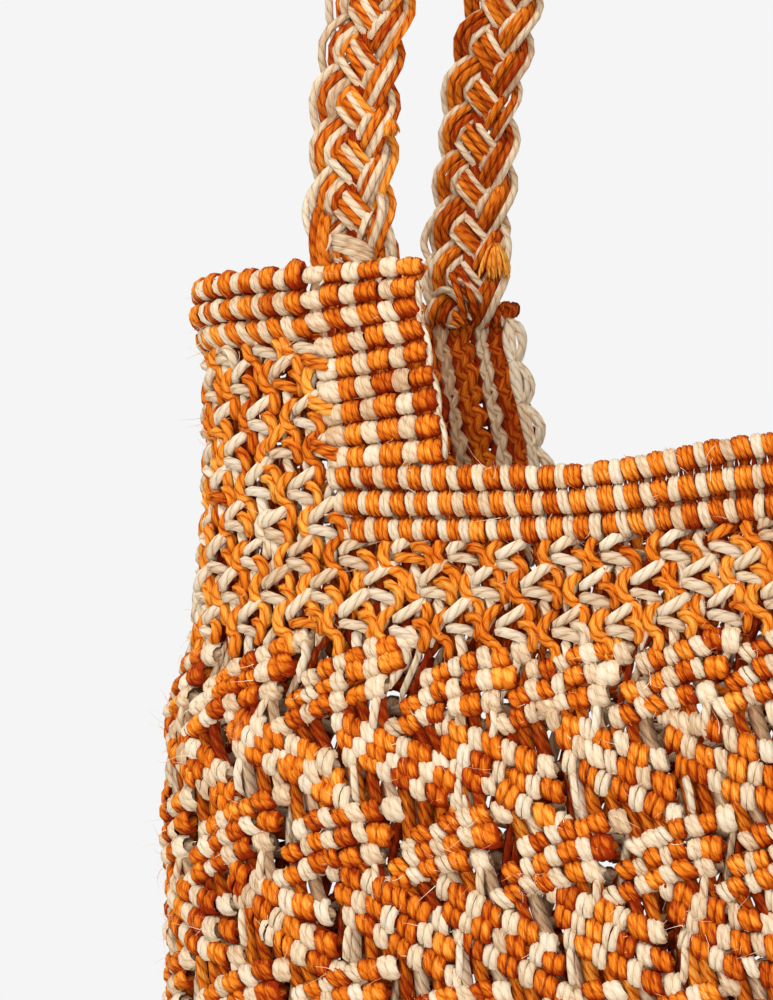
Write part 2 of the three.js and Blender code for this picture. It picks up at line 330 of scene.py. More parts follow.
def whole(hitches, bead):
    """Hitches not split into wraps, whose core is drawn in at both sides by their bead."""
    count = len(hitches["s"])
    beads = np.full(count, bead, dtype=float)
    return dict(hitches, share=np.zeros(count), part=np.ones(count), bead=beads)


WRAP_OVERLAP = 1.11
# How much the wraps of one hitch vary
WRAP_SPREAD = {"half": 0.04, "lean": 0.12, "up": 0.03, "out": 0.05, "tone": 0.06, "shade": 0.02}


def split_wraps(hitches, count):
    """The wraps of each hitch, side by side along its row."""
    number = len(hitches["s"])
    vary = varied_by(WRAP_SPREAD, number)
    parts = []
    for wrap in range(count):
        share = (2 * wrap + 1) / count - 1
        aside = share * hitches["half"]
        parts.append(dict(
            hitches,
            s=hitches["s"] + aside,
            z=hitches["z"] + aside * hitches["slope"],
            half=hitches["half"] / count * WRAP_OVERLAP * vary("half", 1),
            share=np.full(number, share),
            part=np.full(number, 1 / count),
            lean=hitches["lean"] + vary("lean"),
            up=hitches["up"] * vary("up", 1),
            out=hitches["out"] * vary("out", 1),
            paint=hitches["paint"] + np.column_stack([np.zeros(number), vary("tone"), vary("shade")]),
        ))
    return gathered(parts)


TUBE_SIDES = 5
PLAIN_SIDES = 4  # of cords that lie deep
ASKEW = np.array([0.31, 0.17, 0.93])  # a direction that no cord follows
TIP_RADIUS = 0.25  # a cord's end tucks away to this share of its radius


def add_tubes(bundle, paths, radius, paint, sides=TUBE_SIDES, tips=True, depth=None):
    """Round cords along paths of equal numbers of points, which lose light by their depth."""
    tangent = np.gradient(paths, axis=1)
    tangent /= np.linalg.norm(tangent, axis=2, keepdims=True)
    side = np.cross(tangent[:, 0], ASKEW)
    sideways = np.empty_like(paths)
    for step in range(paths.shape[1]):
        ahead = tangent[:, step]
        side = side - np.sum(side * ahead, axis=1, keepdims=True) * ahead
        side = side / np.linalg.norm(side, axis=1, keepdims=True)
        sideways[:, step] = side
    upright = np.cross(tangent, sideways)
    girth = np.ones(paths.shape[1])
    if tips:
        girth[[0, -1]] = TIP_RADIUS
    reach = (np.broadcast_to(radius, len(paths))[:, None] * girth[None, :])[:, :, None, None]
    turn = np.linspace(0, 2 * math.pi, sides + 1)[None, None, :, None]
    ring = np.cos(turn) * sideways[:, :, None] + np.sin(turn) * upright[:, :, None]
    points = paths[:, :, None] + reach * ring
    lengths = np.linalg.norm(np.diff(paths, axis=1), axis=2)
    along = np.concatenate([np.zeros((len(paths), 1)), np.cumsum(lengths, axis=1)], axis=1)
    start = random.uniform(0, GRAIN_START, len(paths))[:, None]
    grain = np.stack(np.broadcast_arrays(
        (along + start)[:, :, None],
        turn[..., 0] * np.broadcast_to(radius, len(paths))[:, None, None],
    ), axis=-1)
    bundle.add_grids(points, paint, grain, None if depth is None else depth[:, :, None])


def smooth_path(points, count):
    """A curve through the points, at even steps of its parameter."""
    points = np.asarray(points, dtype=float)
    padded = np.concatenate([2 * points[:1] - points[1:2], points, 2 * points[-1:] - points[-2:-1]])
    place = np.linspace(0, len(points) - 1, count)
    first = np.minimum(place.astype(int), len(points) - 2)
    t = (place - first)[:, None]
    p0, p1, p2, p3 = (padded[first + step] for step in range(4))
    return 0.5 * (
        2 * p1
        + (p2 - p0) * t
        + (2 * p0 - 5 * p1 + 4 * p2 - p3) * t**2
        + (3 * p1 - p0 - 3 * p2 + p3) * t**3
    )


# Wave body: bands of blocks of three wrapped rows, which rise to the right in one band and fall in
# the next
BAND_COUNT = 11
BLOCK_ROWS = 3
ROW_HITCHES = 7
RISING_PITCH = 6.7
FALLING_PITCH = 7
RISING_SPAN = 0.95  # of a column
FALLING_SPAN = 1.07
BLOCK_PHASE = 0.6  # of a column, where the first rising block stands
FIRST_BLOCK_DROP = 13  # from the top of the wave body to the middle of the first block
BAND_PERIOD = 46.4  # from a rising band to the next one
FALLING_DROP = 23.4  # from a rising band to the falling band below it
RISING_SLOPE = 0.3
RISING_BEND = 0.0075  # rising rows level out towards their upper end
FALLING_SLOPE = -0.42
FALLING_BEND = -0.002
SLOPE_FAN = 0.035
RISING_SLIDE = -3.2  # from each row to the next one down
FALLING_SLIDE = 2.4
RISING_WIDTHS = np.array([1.0, 0.9, 0.85, 0.95, 1.0, 1.05, 1.35])
FALLING_WIDTHS = np.array([0.95, 1.0, 1.0, 1.0, 1.0, 1.05, 1.1])
ORANGE_WIDTH = 1.38  # of an orange hitch against a cream one
RISING_LEAN = -0.5
FALLING_LEAN = -1.0
WALL_MIDDLE = -3
CORE_OUT = 2.6
CORE_RADIUS = 1.9
CORE_SIDES = 6
CORE_SHADE = 0.75
# Course of a row's core: shares of the row's span from its middle, and how deep it lies there
CORE_COURSE = ((-0.51, -1.4), (-0.47, -0.9), (0.47, -0.9), (0.51, -1.4))
WRAP_RELIEF = 0.8
TWINE_RADIUS = 1.1
FLOOR_SLOPE_SHARE = 0.5  # the lowest blocks lie flatter, on the base
FLAT_BELOW = 40
LOWEST_ROW = 4.2
WAVE_BEAD = 0.31
ROW_SWELL = 0.28  # how far a row swells into its neighbours
LAST_HITCH = 1.15  # the hitch at a rising row's right end is this much bigger
HITCH_OVERLAP = 1.03
WAVE_WRAPS = 2  # in a hitch
FLIPPED_HITCHES = 0.02  # share of hitches of the other colour
PUFF_MIDDLE = 0.9  # how far the middle of a block stands out
PUFF_ENDS = 1.3  # how much less the ends of its rows do
PUFF_ROWS = 0.3  # how much less its first and last rows do
# How much blocks, rows and hitches vary
BLOCK_SPREAD = {"slope": 0.05, "lift": 0.7, "shift": 0.6, "bend": 0.002}
ROW_SPREAD = {"slope": 0.025, "z": 0.15}
HITCH_SPREAD = {"size": 0.07, "s": 0.3, "z": 0.45, "d": 0.4, "slope": 0.1, "half": 0.06, "lean": 0.25}
LIFT_BOTTOM = 190  # above this height the rows are drawn up with the rim
LIFT_MIDDLE = 8
LIFT_ENDS = 4
CORNER_LIFT = 5.5  # the middle rows are drawn up round the ends and corners
CORNER_REACH = 142  # from the middle of an end
CORNER_FADE = 30
CORNER_TOP = 218
CORNER_TOP_FADE = 14
CORNER_BOTTOM_FADE = 60


def wave_lift(distance, height):
    """How far the rows are drawn up: the top ones with the rim, and those below them round the ends."""
    x = np.abs(wall(distance, np.full_like(distance, RIM_TOP), 0)[..., 0])
    middle = LIFT_MIDDLE * np.cos(math.pi * np.minimum(x, RIM_DIP_X) / (2 * RIM_DIP_X)) ** 2
    ends = LIFT_ENDS * np.clip((x - RIM_DIP_X) / (FRONT_HANDLE_HALF_SPAN - RIM_DIP_X), 0, 1) ** 2
    share = np.clip((height - LIFT_BOTTOM) / (WAVE_TOP - LIFT_BOTTOM), 0, 1)
    corner = np.clip((CORNER_REACH - from_end(distance)) / CORNER_FADE, 0, 1)
    below = np.clip((CORNER_TOP - height) / CORNER_TOP_FADE, 0, 1)
    above = np.clip((height - FLAT_BELOW) / CORNER_BOTTOM_FADE, 0, 1)
    return (middle + ends) * share + CORNER_LIFT * corner * below * above


def wave_rows():
    """Every row of every block: its middle, span, height, slope and bend."""
    size = (BAND_COUNT, COLUMN_COUNT, BLOCK_ROWS)
    band, column, row = (grid.ravel() for grid in np.indices(size))
    rising = band % 2 == 0
    step = row - (BLOCK_ROWS - 1) / 2
    block = {
        key: random.normal(0, spread, size[:2])[band, column]
        for key, spread in BLOCK_SPREAD.items()
    }
    vary = varied_by(ROW_SPREAD, len(row))
    slope = np.where(rising, RISING_SLOPE, FALLING_SLOPE - SLOPE_FAN * step) + block["slope"]
    slope = slope + vary("slope")
    middle = column + BLOCK_PHASE + np.where(rising, 0, 0.5)
    drop = BAND_PERIOD * (band // 2) + np.where(rising, 0, FALLING_DROP)
    centre = WAVE_TOP - FIRST_BLOCK_DROP - drop
    slide = np.where(rising, RISING_SLIDE, FALLING_SLIDE)
    pitch = np.where(rising, RISING_PITCH, FALLING_PITCH)
    s = column_distance(middle) + slide * step + block["shift"]
    z = centre - step * pitch + block["lift"]
    column_width = column_distance(middle + 0.5) - column_distance(middle - 0.5)
    return {
        "rising": rising,
        "row": row,
        "step": step,
        "s": s,
        "z": z + vary("z") + wave_lift(s, z),
        "span": np.where(rising, RISING_SPAN, FALLING_SPAN) * column_width,
        "slope": np.where(z < FLAT_BELOW, slope * FLOOR_SLOPE_SHARE, slope),
        "bend": np.where(rising, RISING_BEND, FALLING_BEND) + block["bend"],
        "half_pitch": pitch / 2,
    }


def along_row(rows, aside):
    """Distance, height and slope at a place aside of the middle of each row."""
    s = rows["s"] + aside
    z = rows["z"] + rows["slope"] * aside - rows["bend"] * aside**2
    return s, np.maximum(z, LOWEST_ROW), rows["slope"] - 2 * rows["bend"] * aside


def hitch_colour(hitch, row):
    """Cream and orange by turns, along a row and from row to row."""
    return (hitch + row) % 2


def hitch_shares(widths, row):
    """Share of a row that each of its hitches takes."""
    orange = hitch_colour(np.arange(ROW_HITCHES), row)
    wide = widths * np.where(orange, ORANGE_WIDTH, 1)
    return wide / wide.sum()


# Shares of the hitches, and where their middles lie, in falling and rising blocks and each of their rows
HITCH_SHARES = np.array([
    [hitch_shares(widths, row) for row in range(BLOCK_ROWS)]
    for widths in (FALLING_WIDTHS, RISING_WIDTHS)
])
HITCH_MIDDLES = np.cumsum(HITCH_SHARES, axis=2) - HITCH_SHARES / 2 - 0.5


def wave_hitches(rows):
    """The hitches of the rows, with the number of their row."""
    number = np.repeat(np.arange(len(rows["row"])), ROW_HITCHES)
    hitch = np.tile(np.arange(ROW_HITCHES), len(rows["row"]))
    row = {key: values[number] for key, values in rows.items()}
    kind = row["rising"].astype(int)
    middle = HITCH_MIDDLES[kind, row["row"], hitch]
    s, z, slope = along_row(row, middle * row["span"])
    count = len(s)
    orange = hitch_colour(hitch, row["row"])
    orange = np.where(random.random(count) < FLIPPED_HITCHES, 1 - orange, orange)
    puff = PUFF_MIDDLE - PUFF_ENDS * (2 * middle) ** 2 - PUFF_ROWS * row["step"] ** 2
    last = row["rising"] & (hitch == ROW_HITCHES - 1)
    half = HITCH_SHARES[kind, row["row"], hitch] * row["span"] / 2
    lean = np.where(row["rising"], RISING_LEAN, FALLING_LEAN)
    vary = varied_by(HITCH_SPREAD, count)
    size = np.where(last, LAST_HITCH, 1.0) * vary("size", 1)
    wraps = {
        "s": s + vary("s"),
        "z": z + vary("z"),
        "d": WALL_MIDDLE + puff + vary("d"),
        "slope": slope + vary("slope"),
        "up": (row["half_pitch"] + ROW_SWELL - WRAP_RELIEF) * size,
        "out": CORE_OUT * size,
        "cord": np.full(count, WRAP_RELIEF),
        "half": half * vary("half", HITCH_OVERLAP),
        "lean": lean + vary("lean"),
        "paint": paint_for(orange),
    }
    return whole(wraps, WAVE_BEAD), number


def add_row_cores(bundle, rows):
    """The carrier cord that each row is tied on, whose ends fill the row's last hitches."""
    points = []
    for share, sink in CORE_COURSE:
        s, z, _ = along_row(rows, share * rows["span"])
        points.append(wall(s, z, np.full_like(s, WALL_MIDDLE + sink)))
    paint = paint_for(hitch_colour(0, rows["row"]), shade=CORE_SHADE)
    add_tubes(bundle, np.stack(points, axis=1), CORE_RADIUS, paint, sides=CORE_SIDES)


# Cords that pass between blocks: the kind of block and row they lie by, where along it, how far above
# it they start, how far they fall, how far they sway, how deep they lie, and the share of orange ones
LOOSE_CORDS = (
    (True, 2, 0.44, 0, (12, 14.5), (-0.3, 1.0), -0.5, 0.1),
    (True, 0, 0.53, 9, (28, 33), (-4.5, 1.0), -4.6, 0.4),
    (True, 0, 0.60, 9, (28, 33), (-4.0, 1.0), -5.4, 0.7),
    (False, 2, -0.44, 0, (12, 14.5), (0.8, 1.0), -0.8, 0.1),
    (False, 0, 0.53, 9, (26, 30), (4.0, 1.0), -5.0, 0.7),
)
LOOSE_RADIUS = 1.25
LOOSE_BOW = (0.4, 0.8)  # middle and spread of how far they bow aside
DEEP_SHADE = 0.46  # of orange cords that lie in the shade of others
DEEP_CREAM_SHADE = 0.8
# Places down such a cord: share of its fall, of its bow, and how far it lifts off the wall
LOOSE_STEPS = (
    (0, -0.2, -2.6), (0.3, 0.6, -0.9), (0.55, 1.0, -0.2), (0.85, 0.4, -1.0), (1, 0, -3.4),
)


def deep_shade(orange):
    return np.where(orange > 0, DEEP_SHADE, DEEP_CREAM_SHADE)


def add_loose_cords(bundle, rows):
    """The cords that pass from one block to the next, across the slots between blocks."""
    for rising, row, share, start, falls, sway, depth, orange_share in LOOSE_CORDS:
        mine = chosen(rows, (rows["rising"] == rising) & (rows["row"] == row))
        s, z, _ = along_row(mine, share * mine["span"])
        count = len(s)
        fall = random.uniform(*falls, count)
        drift = random.normal(*sway, count)
        bow = random.normal(*LOOSE_BOW, count)
        points = []
        for down, out, rise in LOOSE_STEPS:
            height = np.maximum(z + start - fall * down, TWINE_RADIUS)
            points.append(wall(s + drift * down + bow * out, height, np.full(count, depth + rise)))
        orange = (random.random(count) < orange_share).astype(int)
        in_sight = depth > WALL_MIDDLE
        paint = paint_for(orange, shade=1.0 if in_sight else deep_shade(orange))
        sides = TUBE_SIDES if in_sight else PLAIN_SIDES
        add_tubes(bundle, np.stack(points, axis=1), LOOSE_RADIUS, paint, sides=sides)


# Where the cords of a row's seven hitches go on: columns to the side, and the hitch there
BRIDGES = {
    True: ((-1, 4), (-1, 5), (-1, 6), (0, 0), (0, 1), (0, 2), (0, 3)),
    False: ((0, 4), (0, 5), (0, 6), (1, 0), (1, 1), (1, 2), (1, 3)),
}
BRIDGE_RADIUS = 2.1
BRIDGE_DEPTH = -3.9
BRIDGE_BOW = 0.5
BRIDGE_SPREAD = 0.3  # how much its depth varies
# Places along a bridge: share of its way, and how far it lifts off its depth
BRIDGE_STEPS = ((0, -0.6), (0.35, 0.4), (0.65, 0.4), (1, -0.6))
BRIDGE_SHADE = {True: 0.62, False: 0.8}  # those below rising blocks lie more in the shade
# A share of the bridges are orange whatever their hitch, so that their painted shade is dark
# orange-brown
SHADED_ORANGE_SHARE = 0.5  # share of these cords that are orange whatever their hitch


def hitch_places(rows, which, rising, row, hitch):
    """Distances and heights of one hitch in the rows that are picked."""
    mine = chosen(rows, which)
    return along_row(mine, HITCH_MIDDLES[int(rising), row, hitch] * mine["span"])[:2]


def add_bridges(bundle, rows):
    """The knotting cords where they cross from the lowest row of a block to the blocks below it."""
    number = np.arange(len(rows["row"])).reshape(BAND_COUNT, COLUMN_COUNT, BLOCK_ROWS)
    for rising in (True, False):
        upper = number[0 if rising else 1 : -1 : 2, :, -1].ravel()
        lower_rows = number[1 if rising else 2 :: 2, :, 0]
        for hitch, (aside, below_hitch) in enumerate(BRIDGES[rising]):
            lower = np.roll(lower_rows, -aside, axis=1).ravel()
            s, z = hitch_places(rows, upper, rising, -1, hitch)
            s_below, z_below = hitch_places(rows, lower, not rising, 0, below_hitch)
            across = nearest(s_below - s, PERIMETER)
            count = len(s)
            bow = random.normal(0, BRIDGE_BOW, count)
            points = []
            for share, depth in BRIDGE_STEPS:
                side = s + across * share + bow * (share * (1 - share) * 4)
                height = z + (z_below - z) * share
                outward = BRIDGE_DEPTH + depth + random.normal(0, BRIDGE_SPREAD, count)
                points.append(wall(side, height, outward))
            orange_for_shade = random.random(count) < SHADED_ORANGE_SHARE
            orange = np.where(orange_for_shade, ORANGE, hitch_colour(hitch, BLOCK_ROWS - 1))
            paint = paint_for(orange, shade=BRIDGE_SHADE[rising])
            add_tubes(bundle, np.stack(points, axis=1), BRIDGE_RADIUS, paint, PLAIN_SIDES, tips=False)


INSIDE_SHADE = 0.65
QUARTERS = ("front_left", "front_right", "back_right", "back_left")


def make_wave_body(material, cord_material):
    rows = wave_rows()
    hitches, row_of = wave_hitches(rows)
    quarter = np.floor(np.mod(rows["s"], PERIMETER) / (PERIMETER / 4)).astype(int)
    for number, name in enumerate(QUARTERS):
        bundle = Bundle()
        mine = chosen(hitches, quarter[row_of] == number)
        add_wraps(bundle, split_wraps(mine, WAVE_WRAPS), OUTER_ARC, OUTER_ACROSS)
        inner = dict(mine, paint=mine["paint"] * np.array([1, 1, INSIDE_SHADE]))
        add_wraps(bundle, inner, INNER_ARC, INNER_ACROSS)
        add_row_cores(bundle, chosen(rows, quarter == number))
        bundle.piece(f"wave_{name}", "body_twine", ["wave_body"], material)
    loose = Bundle()
    add_bridges(loose, rows)
    add_loose_cords(loose, rows)
    loose.piece("wave_loose_cords", "body_twine", ["wave_body"], cord_material)
    return hitches


# Base: plain rows of hitches from end to end
BASE_ROW_PITCH = 5.9
BASE_HITCH = 4.6
BASE_LEVEL = 3.05
BASE_CORE = 1.9
BASE_BEAD = 0.2
BASE_LEAN = 0.4
BASE_SLOPE_SPREAD = 0.01
BASE_MARGIN = 2


def base_surface(x, y, upward):
    return np.stack(np.broadcast_arrays(x, y, BASE_LEVEL + upward), axis=-1)


def make_base(material):
    half_width, half_depth = section_at(np.array(BASE_LEVEL))
    half_width = half_width - BASE_MARGIN
    half_depth = half_depth - BASE_MARGIN
    row_count = int(2 * half_depth / BASE_ROW_PITCH)
    places = []
    for row in range(row_count):
        y = (row - (row_count - 1) / 2) * BASE_ROW_PITCH
        reach = half_width * (1 - (abs(y) / half_depth) ** PLAN_POWER) ** (1 / PLAN_POWER)
        number = int(2 * reach / BASE_HITCH)
        for hitch in range(number):
            places.append(((hitch - (number - 1) / 2) * BASE_HITCH, y, hitch % 2))
    x, y, orange = np.array(places).T
    count = len(x)
    hitches = {
        "s": x,
        "z": y,
        "d": np.zeros(count),
        "slope": random.normal(0, BASE_SLOPE_SPREAD, count),
        "up": np.full(count, BASE_CORE),
        "out": np.full(count, BASE_CORE),
        "cord": np.full(count, WRAP_RELIEF),
        "half": np.full(count, BASE_HITCH / 2),
        "lean": np.full(count, BASE_LEAN),
        "paint": paint_for(orange),
    }
    hitches = whole(hitches, BASE_BEAD)
    bundle = Bundle()
    add_wraps(bundle, hitches, INNER_ARC - math.pi, INNER_ACROSS, base_surface)
    add_wraps(bundle, hitches, INNER_ARC, INNER_ACROSS, base_surface)
    bundle.piece("base_rows", "body_twine", ["wave_body"], material)


# Net: knots in offset rows. In each, two cream cords open to the right from a tip and a third runs down
# between them, an orange cord bends round the tip and runs down beside the knot below, and a second one
# bends round the right side
NET_KNOTS_PER_COLUMN = 2
NET_PHASE = 0.38  # of a column, for the tips of the lowest row
NET_BOTTOM = 251.7
NET_ROW_PITCH = 10.2
NET_MIDDLE = -2.4
NET_START = 242  # the cords come out of the wave body below this height
NET_STEP = 4
NET_TUCK = 1.5  # how fast a cord goes in behind the rows above the net
TAB_OVERLAP = 4  # how far the net's cords run on behind a tab
KNOT_MIDDLE = 4  # from a knot's tip to its middle
NET_SHADE_DEPTH = -2.8  # cords deeper than this get less light
NET_SHADE = 0.2  # of their light for each millimetre
NET_DARKEST = 0.55  # of their light at most
# How much knots vary, and their cords in place, depth and girth
KNOT_SPREAD = {"s": 0.5, "z": 0.4, "tilt": 0.1, "size": 0.07, "place": 0.35, "depth": 0.3, "girth": 0.08}
FLIPPED_CORDS = 0.06  # share of cords of the other colour
RING_OVERLAP = 1  # how far the ring's knots reach behind the rim
BACKING_RADIUS = 1.9
BACKING_DEPTH = -5.8
BACKING_SWAY = 1.6
BACKING_SPREAD = 0.2
BACKING_OVERLAP = 2  # how far these cords run on behind the rows above the net
# Cords of a knot: colour, radius, number of places along the cord, and the cord's course from the tip to
# the right, up and outward
NET_CORDS = (
    (CREAM, 1.65, 7, (
        (-0.5, -0.1, -1.2), (2.0, 1.5, 1.3), (4.4, 2.9, 1.6), (7.4, 4.9, 0.9), (9.8, 6.4, -1.4),
    )),
    (CREAM, 1.65, 7, (
        (-0.4, -1.4, -1.2), (2.2, -1.8, 1.2), (5.0, -2.4, 1.5), (7.6, -3.2, 0.6), (9.2, -4.6, -1.6),
    )),
    (CREAM, 1.5, 8, (
        (5.0, -3.0, -1.0), (5.6, -5.4, -0.1), (6.3, -8.4, -0.6),
        (5.6, -11.0, -1.5), (4.4, -13.4, -1.0), (4.0, -17.5, -1.6),
    )),
    (ORANGE, 1.8, 12, (
        (0.6, 4.8, -1.8), (-1.6, 3.4, 0.0), (-3.3, 0.4, 0.9), (-2.4, -3.0, 0.8), (-0.2, -4.6, -0.7),
        (1.5, -6.0, 0.4), (1.9, -7.8, 0.6), (1.2, -9.4, -0.2), (0, -10.6, -1.9),
    )),
    (ORANGE, 1.6, 9, (
        (5.4, 0.4, -1.4), (7.6, 0.5, 0.8), (10.0, -0.5, 1.3),
        (11.2, -2.5, 1.0), (10.8, -4.8, 0.3), (9.8, -6.6, -1.6),
    )),
)


def net_lift(distance, height):
    """The net is drawn up with the wave body below it and with the rim above it."""
    share = np.clip((height - WAVE_TOP) / (RIM_BOTTOM - WAVE_TOP), 0, 1)
    low = wave_lift(distance, np.full_like(distance, WAVE_TOP))
    return low * (1 - share) + rim_rise(distance) / 2 * share


def net_ceiling(distance):
    """Height where the net goes in behind the rows above it."""
    at_end = from_end(distance) < tab_outer_edge(RIM_BOTTOM)
    return np.where(at_end, SIDE_BAND_BOTTOM, rim_bottom(distance))


def under_tab(distance, height):
    """How far a place lies beyond the outer edge of a tab."""
    inside = np.clip(from_end(distance) - tab_outer_edge(height), 0, TAB_OVERLAP)
    return np.where(height > rim_bottom(distance), inside, 0)


def tip_columns(row):
    """Distances around the wall of the tips of a row."""
    count = NET_KNOTS_PER_COLUMN * COLUMN_COUNT
    column = (np.arange(count) - row % 2 / 2) / NET_KNOTS_PER_COLUMN + NET_PHASE
    return np.mod(column_distance(column), PERIMETER)


def add_backing(bundle, s, bottom, top):
    """Cords behind the knots, which sway upward in their shade."""
    z = np.linspace(bottom, top, round((top - bottom) / NET_STEP))[None, :]
    count = len(s)
    phase = random.uniform(0, 2 * math.pi, count)[:, None]
    sway = BACKING_SWAY * np.sin(math.pi * z / NET_ROW_PITCH + phase)
    distance = s[:, None] + KNOT_MIDDLE + sway
    height = z + net_lift(distance, z + 0 * distance)
    outward = BACKING_DEPTH + random.normal(0, BACKING_SPREAD, distance.shape)
    paint = paint_for(np.full(count, ORANGE), shade=DEEP_SHADE)
    add_tubes(bundle, wall(distance, height, outward), BACKING_RADIUS, paint, PLAIN_SIDES)


def add_knots(bundle, s, z):
    """The cords of knots with their left tips at places of the wall."""
    count = len(s)
    vary = varied_by(KNOT_SPREAD, (count, 1))
    tilt = vary("tilt")
    size = vary("size", 1)
    for colour, radius, steps, course in NET_CORDS:
        right, up, out = (part[None, :] for part in smooth_path(course, steps).T)
        right = right * size + vary("place")
        up = up * size + vary("place")
        distance = s[:, None] + right * np.cos(tilt) - up * np.sin(tilt)
        height = z[:, None] + right * np.sin(tilt) + up * np.cos(tilt)
        over = np.maximum(0, height - net_ceiling(distance)) + under_tab(distance, height)
        outward = NET_MIDDLE + out - NET_TUCK * over + vary("depth")
        depth = np.clip(NET_SHADE * (NET_SHADE_DEPTH - outward), 0, NET_DARKEST)
        flips = random.random(count) < FLIPPED_CORDS
        paint = paint_for(np.where(flips, 1 - colour, colour))
        thickness = radius * vary("girth", 1)[:, 0]
        add_tubes(bundle, wall(distance, height, outward), thickness, paint, depth=depth)


def make_nets(material):
    row_count = math.ceil((SIDE_BAND_BOTTOM - NET_BOTTOM) / NET_ROW_PITCH)
    ring = Bundle()
    ends = {side: Bundle() for side in END_MIDDLES}
    for row in range(row_count):
        tips = tip_columns(row)
        vary = varied_by(KNOT_SPREAD, len(tips))
        s = tips + vary("s")
        z = NET_BOTTOM + row * NET_ROW_PITCH + vary("z")
        z = z + net_lift(s, z)
        in_ring = z < rim_bottom(s) + RING_OVERLAP
        add_knots(ring, s[in_ring], z[in_ring])
        for side, middle in END_MIDDLES.items():
            away = np.abs(nearest(s + KNOT_MIDDLE - middle, PERIMETER))
            mine = ~in_ring & (away < tab_outer_edge(z) + TAB_OVERLAP)
            add_knots(ends[side], s[mine], z[mine])
    for parity in range(2):
        s = tip_columns(parity)
        add_backing(ring, s, NET_START, RIM_BOTTOM + BACKING_OVERLAP)
        for side, middle in END_MIDDLES.items():
            mine = np.abs(nearest(s - middle, PERIMETER)) < tab_outer_edge(SIDE_BAND_BOTTOM)
            add_backing(ends[side], s[mine], RIM_BOTTOM, SIDE_BAND_BOTTOM + BACKING_OVERLAP)
    ring.piece("net_ring_knots", "net_twine", ["net_ring"], material)
    for side, bundle in ends.items():
        bundle.piece(f"{side}_net_knots", "net_twine", [f"{side}_side_net"], material)


PANEL_BEAD = 0.22
END_BEAD = 0.38  # the hitch at either end of a row is rounder
ROW_FILL = 1.05  # thickness of a panel's row against the room it has
ROW_FLATNESS = 0.95  # how far a panel's row stands out against its half height
PANEL_SPREAD = {"width": 0.05, "s": 0.15, "z": 0.15, "d": 0.25, "up": 0.06, "out": 0.07, "lean": 0.25}


def panel_hitches(edges, rows, pattern, lean, middle):
    """Hitches of a corded panel, in columns that pass through all its rows.

    edges gives the two ends of a row at a height, rows are its heights as functions of the distance
    with half their pitch, and pattern is the colour and relative width of each column.
    """
    colours, widths = np.array(pattern).T
    count = len(widths)
    vary = varied_by(PANEL_SPREAD, count)
    widths = widths * vary("width", 1)
    shares = widths / widths.sum()
    middles = np.cumsum(shares) - shares / 2
    centre = np.array([np.mean(edges(RIM_TOP))])
    parts = []
    for height_at, half_pitch in rows:
        start, end = edges(float(height_at(centre)[0]))
        s = start + middles * (end - start)
        core = half_pitch * ROW_FILL - WRAP_RELIEF
        parts.append({
            "s": s + vary("s"),
            "z": height_at(s) + vary("z"),
            "d": middle + vary("d"),
            "slope": height_at(s + 0.5) - height_at(s - 0.5),
            "up": core * vary("up", 1),
            "out": core * ROW_FLATNESS * vary("out", 1),
            "cord": np.full(count, WRAP_RELIEF),
            "half": shares * (end - start) / 2,
            "lean": lean + vary("lean"),
            "paint": paint_for(colours),
        })
    beads = np.full(count, PANEL_BEAD)
    beads[[0, -1]] = END_BEAD
    return whole(gathered(parts), np.tile(beads, len(rows)))


RIB_SHADE = 0.7
RIB_LIFT = 0.5  # how far one cord of a pair passes over the other
RIB_SINK = -0.4  # how far inward both lie between the crossings
RIB_SWAY = 0.55  # of half a hitch, aside
RIB_SWAY_SPREAD = 0.1
RIB_GIRTH = 0.6  # of half a hitch
FILL_SHADE = 0.4  # of the cords that fill the room between ribs
FILL_RISE = 0.9
FILL_GIRTH = 0.55
HITCH_WRAPS = {CREAM: 2, ORANGE: 3}  # in the hitches of a panel


def add_ribs(bundle, hitches, row_count):
    """The upright runs of the cords on the inner side of a panel: pairs that cross from row to row."""
    rows = {key: values.reshape((row_count, -1) + values.shape[1:]) for key, values in hitches.items()}
    for start in (-1, 1):
        points = []
        for row in range(row_count):
            turn = start if row % 2 else -start
            reach = rows["up"][row] + rows["cord"][row]
            sink = rows["d"][row] - rows["out"][row]
            for rise, aside, lift in ((-1, 0, RIB_LIFT * turn), (0, RIB_SWAY * turn, RIB_SINK)):
                s = rows["s"][row] + (aside + random.normal(0, RIB_SWAY_SPREAD)) * rows["half"][row]
                points.append(wall(s, rows["z"][row] + rise * reach, sink + lift))
        points.append(wall(rows["s"][-1], rows["z"][-1] + rows["up"][-1], sink))
        paint = rows["paint"][0] * np.array([1, 1, RIB_SHADE])
        add_tubes(bundle, np.stack(points, axis=1), rows["half"][0] * RIB_GIRTH, paint)
    side = rows["s"] + rows["half"]
    sink = rows["d"] - rows["out"] + FILL_RISE
    fills = np.swapaxes(wall(side, rows["z"], sink), 0, 1)[:-1]
    paint = paint_for(np.full(len(fills), ORANGE), shade=FILL_SHADE)
    add_tubes(bundle, fills, FILL_GIRTH * rows["half"][0, :-1], paint, PLAIN_SIDES)


def corded_bundle(hitches, row_count, inner=None):
    """A corded panel: wraps in each hitch, and ribs behind.

    The ribs go into a bundle of their own where one is given.
    """
    bundle = Bundle()
    for colour in (ORANGE, CREAM):
        mine = chosen(hitches, hitches["paint"][:, 0] == colour)
        add_wraps(bundle, split_wraps(mine, HITCH_WRAPS[colour]), FINE_ARC, OUTER_ACROSS)
    add_ribs(bundle if inner is None else inner, hitches, row_count)
    return bundle


def alternating(length, pitch, orange_share):
    """Columns of cream and orange by turns, the orange ones this much wider."""
    count = 2 * round(length / (2 * pitch))
    return [(column % 2, orange_share if column % 2 else 1) for column in range(count)]


RIM_MIDDLE = -3.7
RIM_HITCH = 4.05
RIM_ORANGE_WIDTH = 1.45
RIM_LEAN = -0.35
BAND_HITCH = 4.9
BAND_ORANGE_WIDTH = 1.4
BAND_LEAN = -0.2


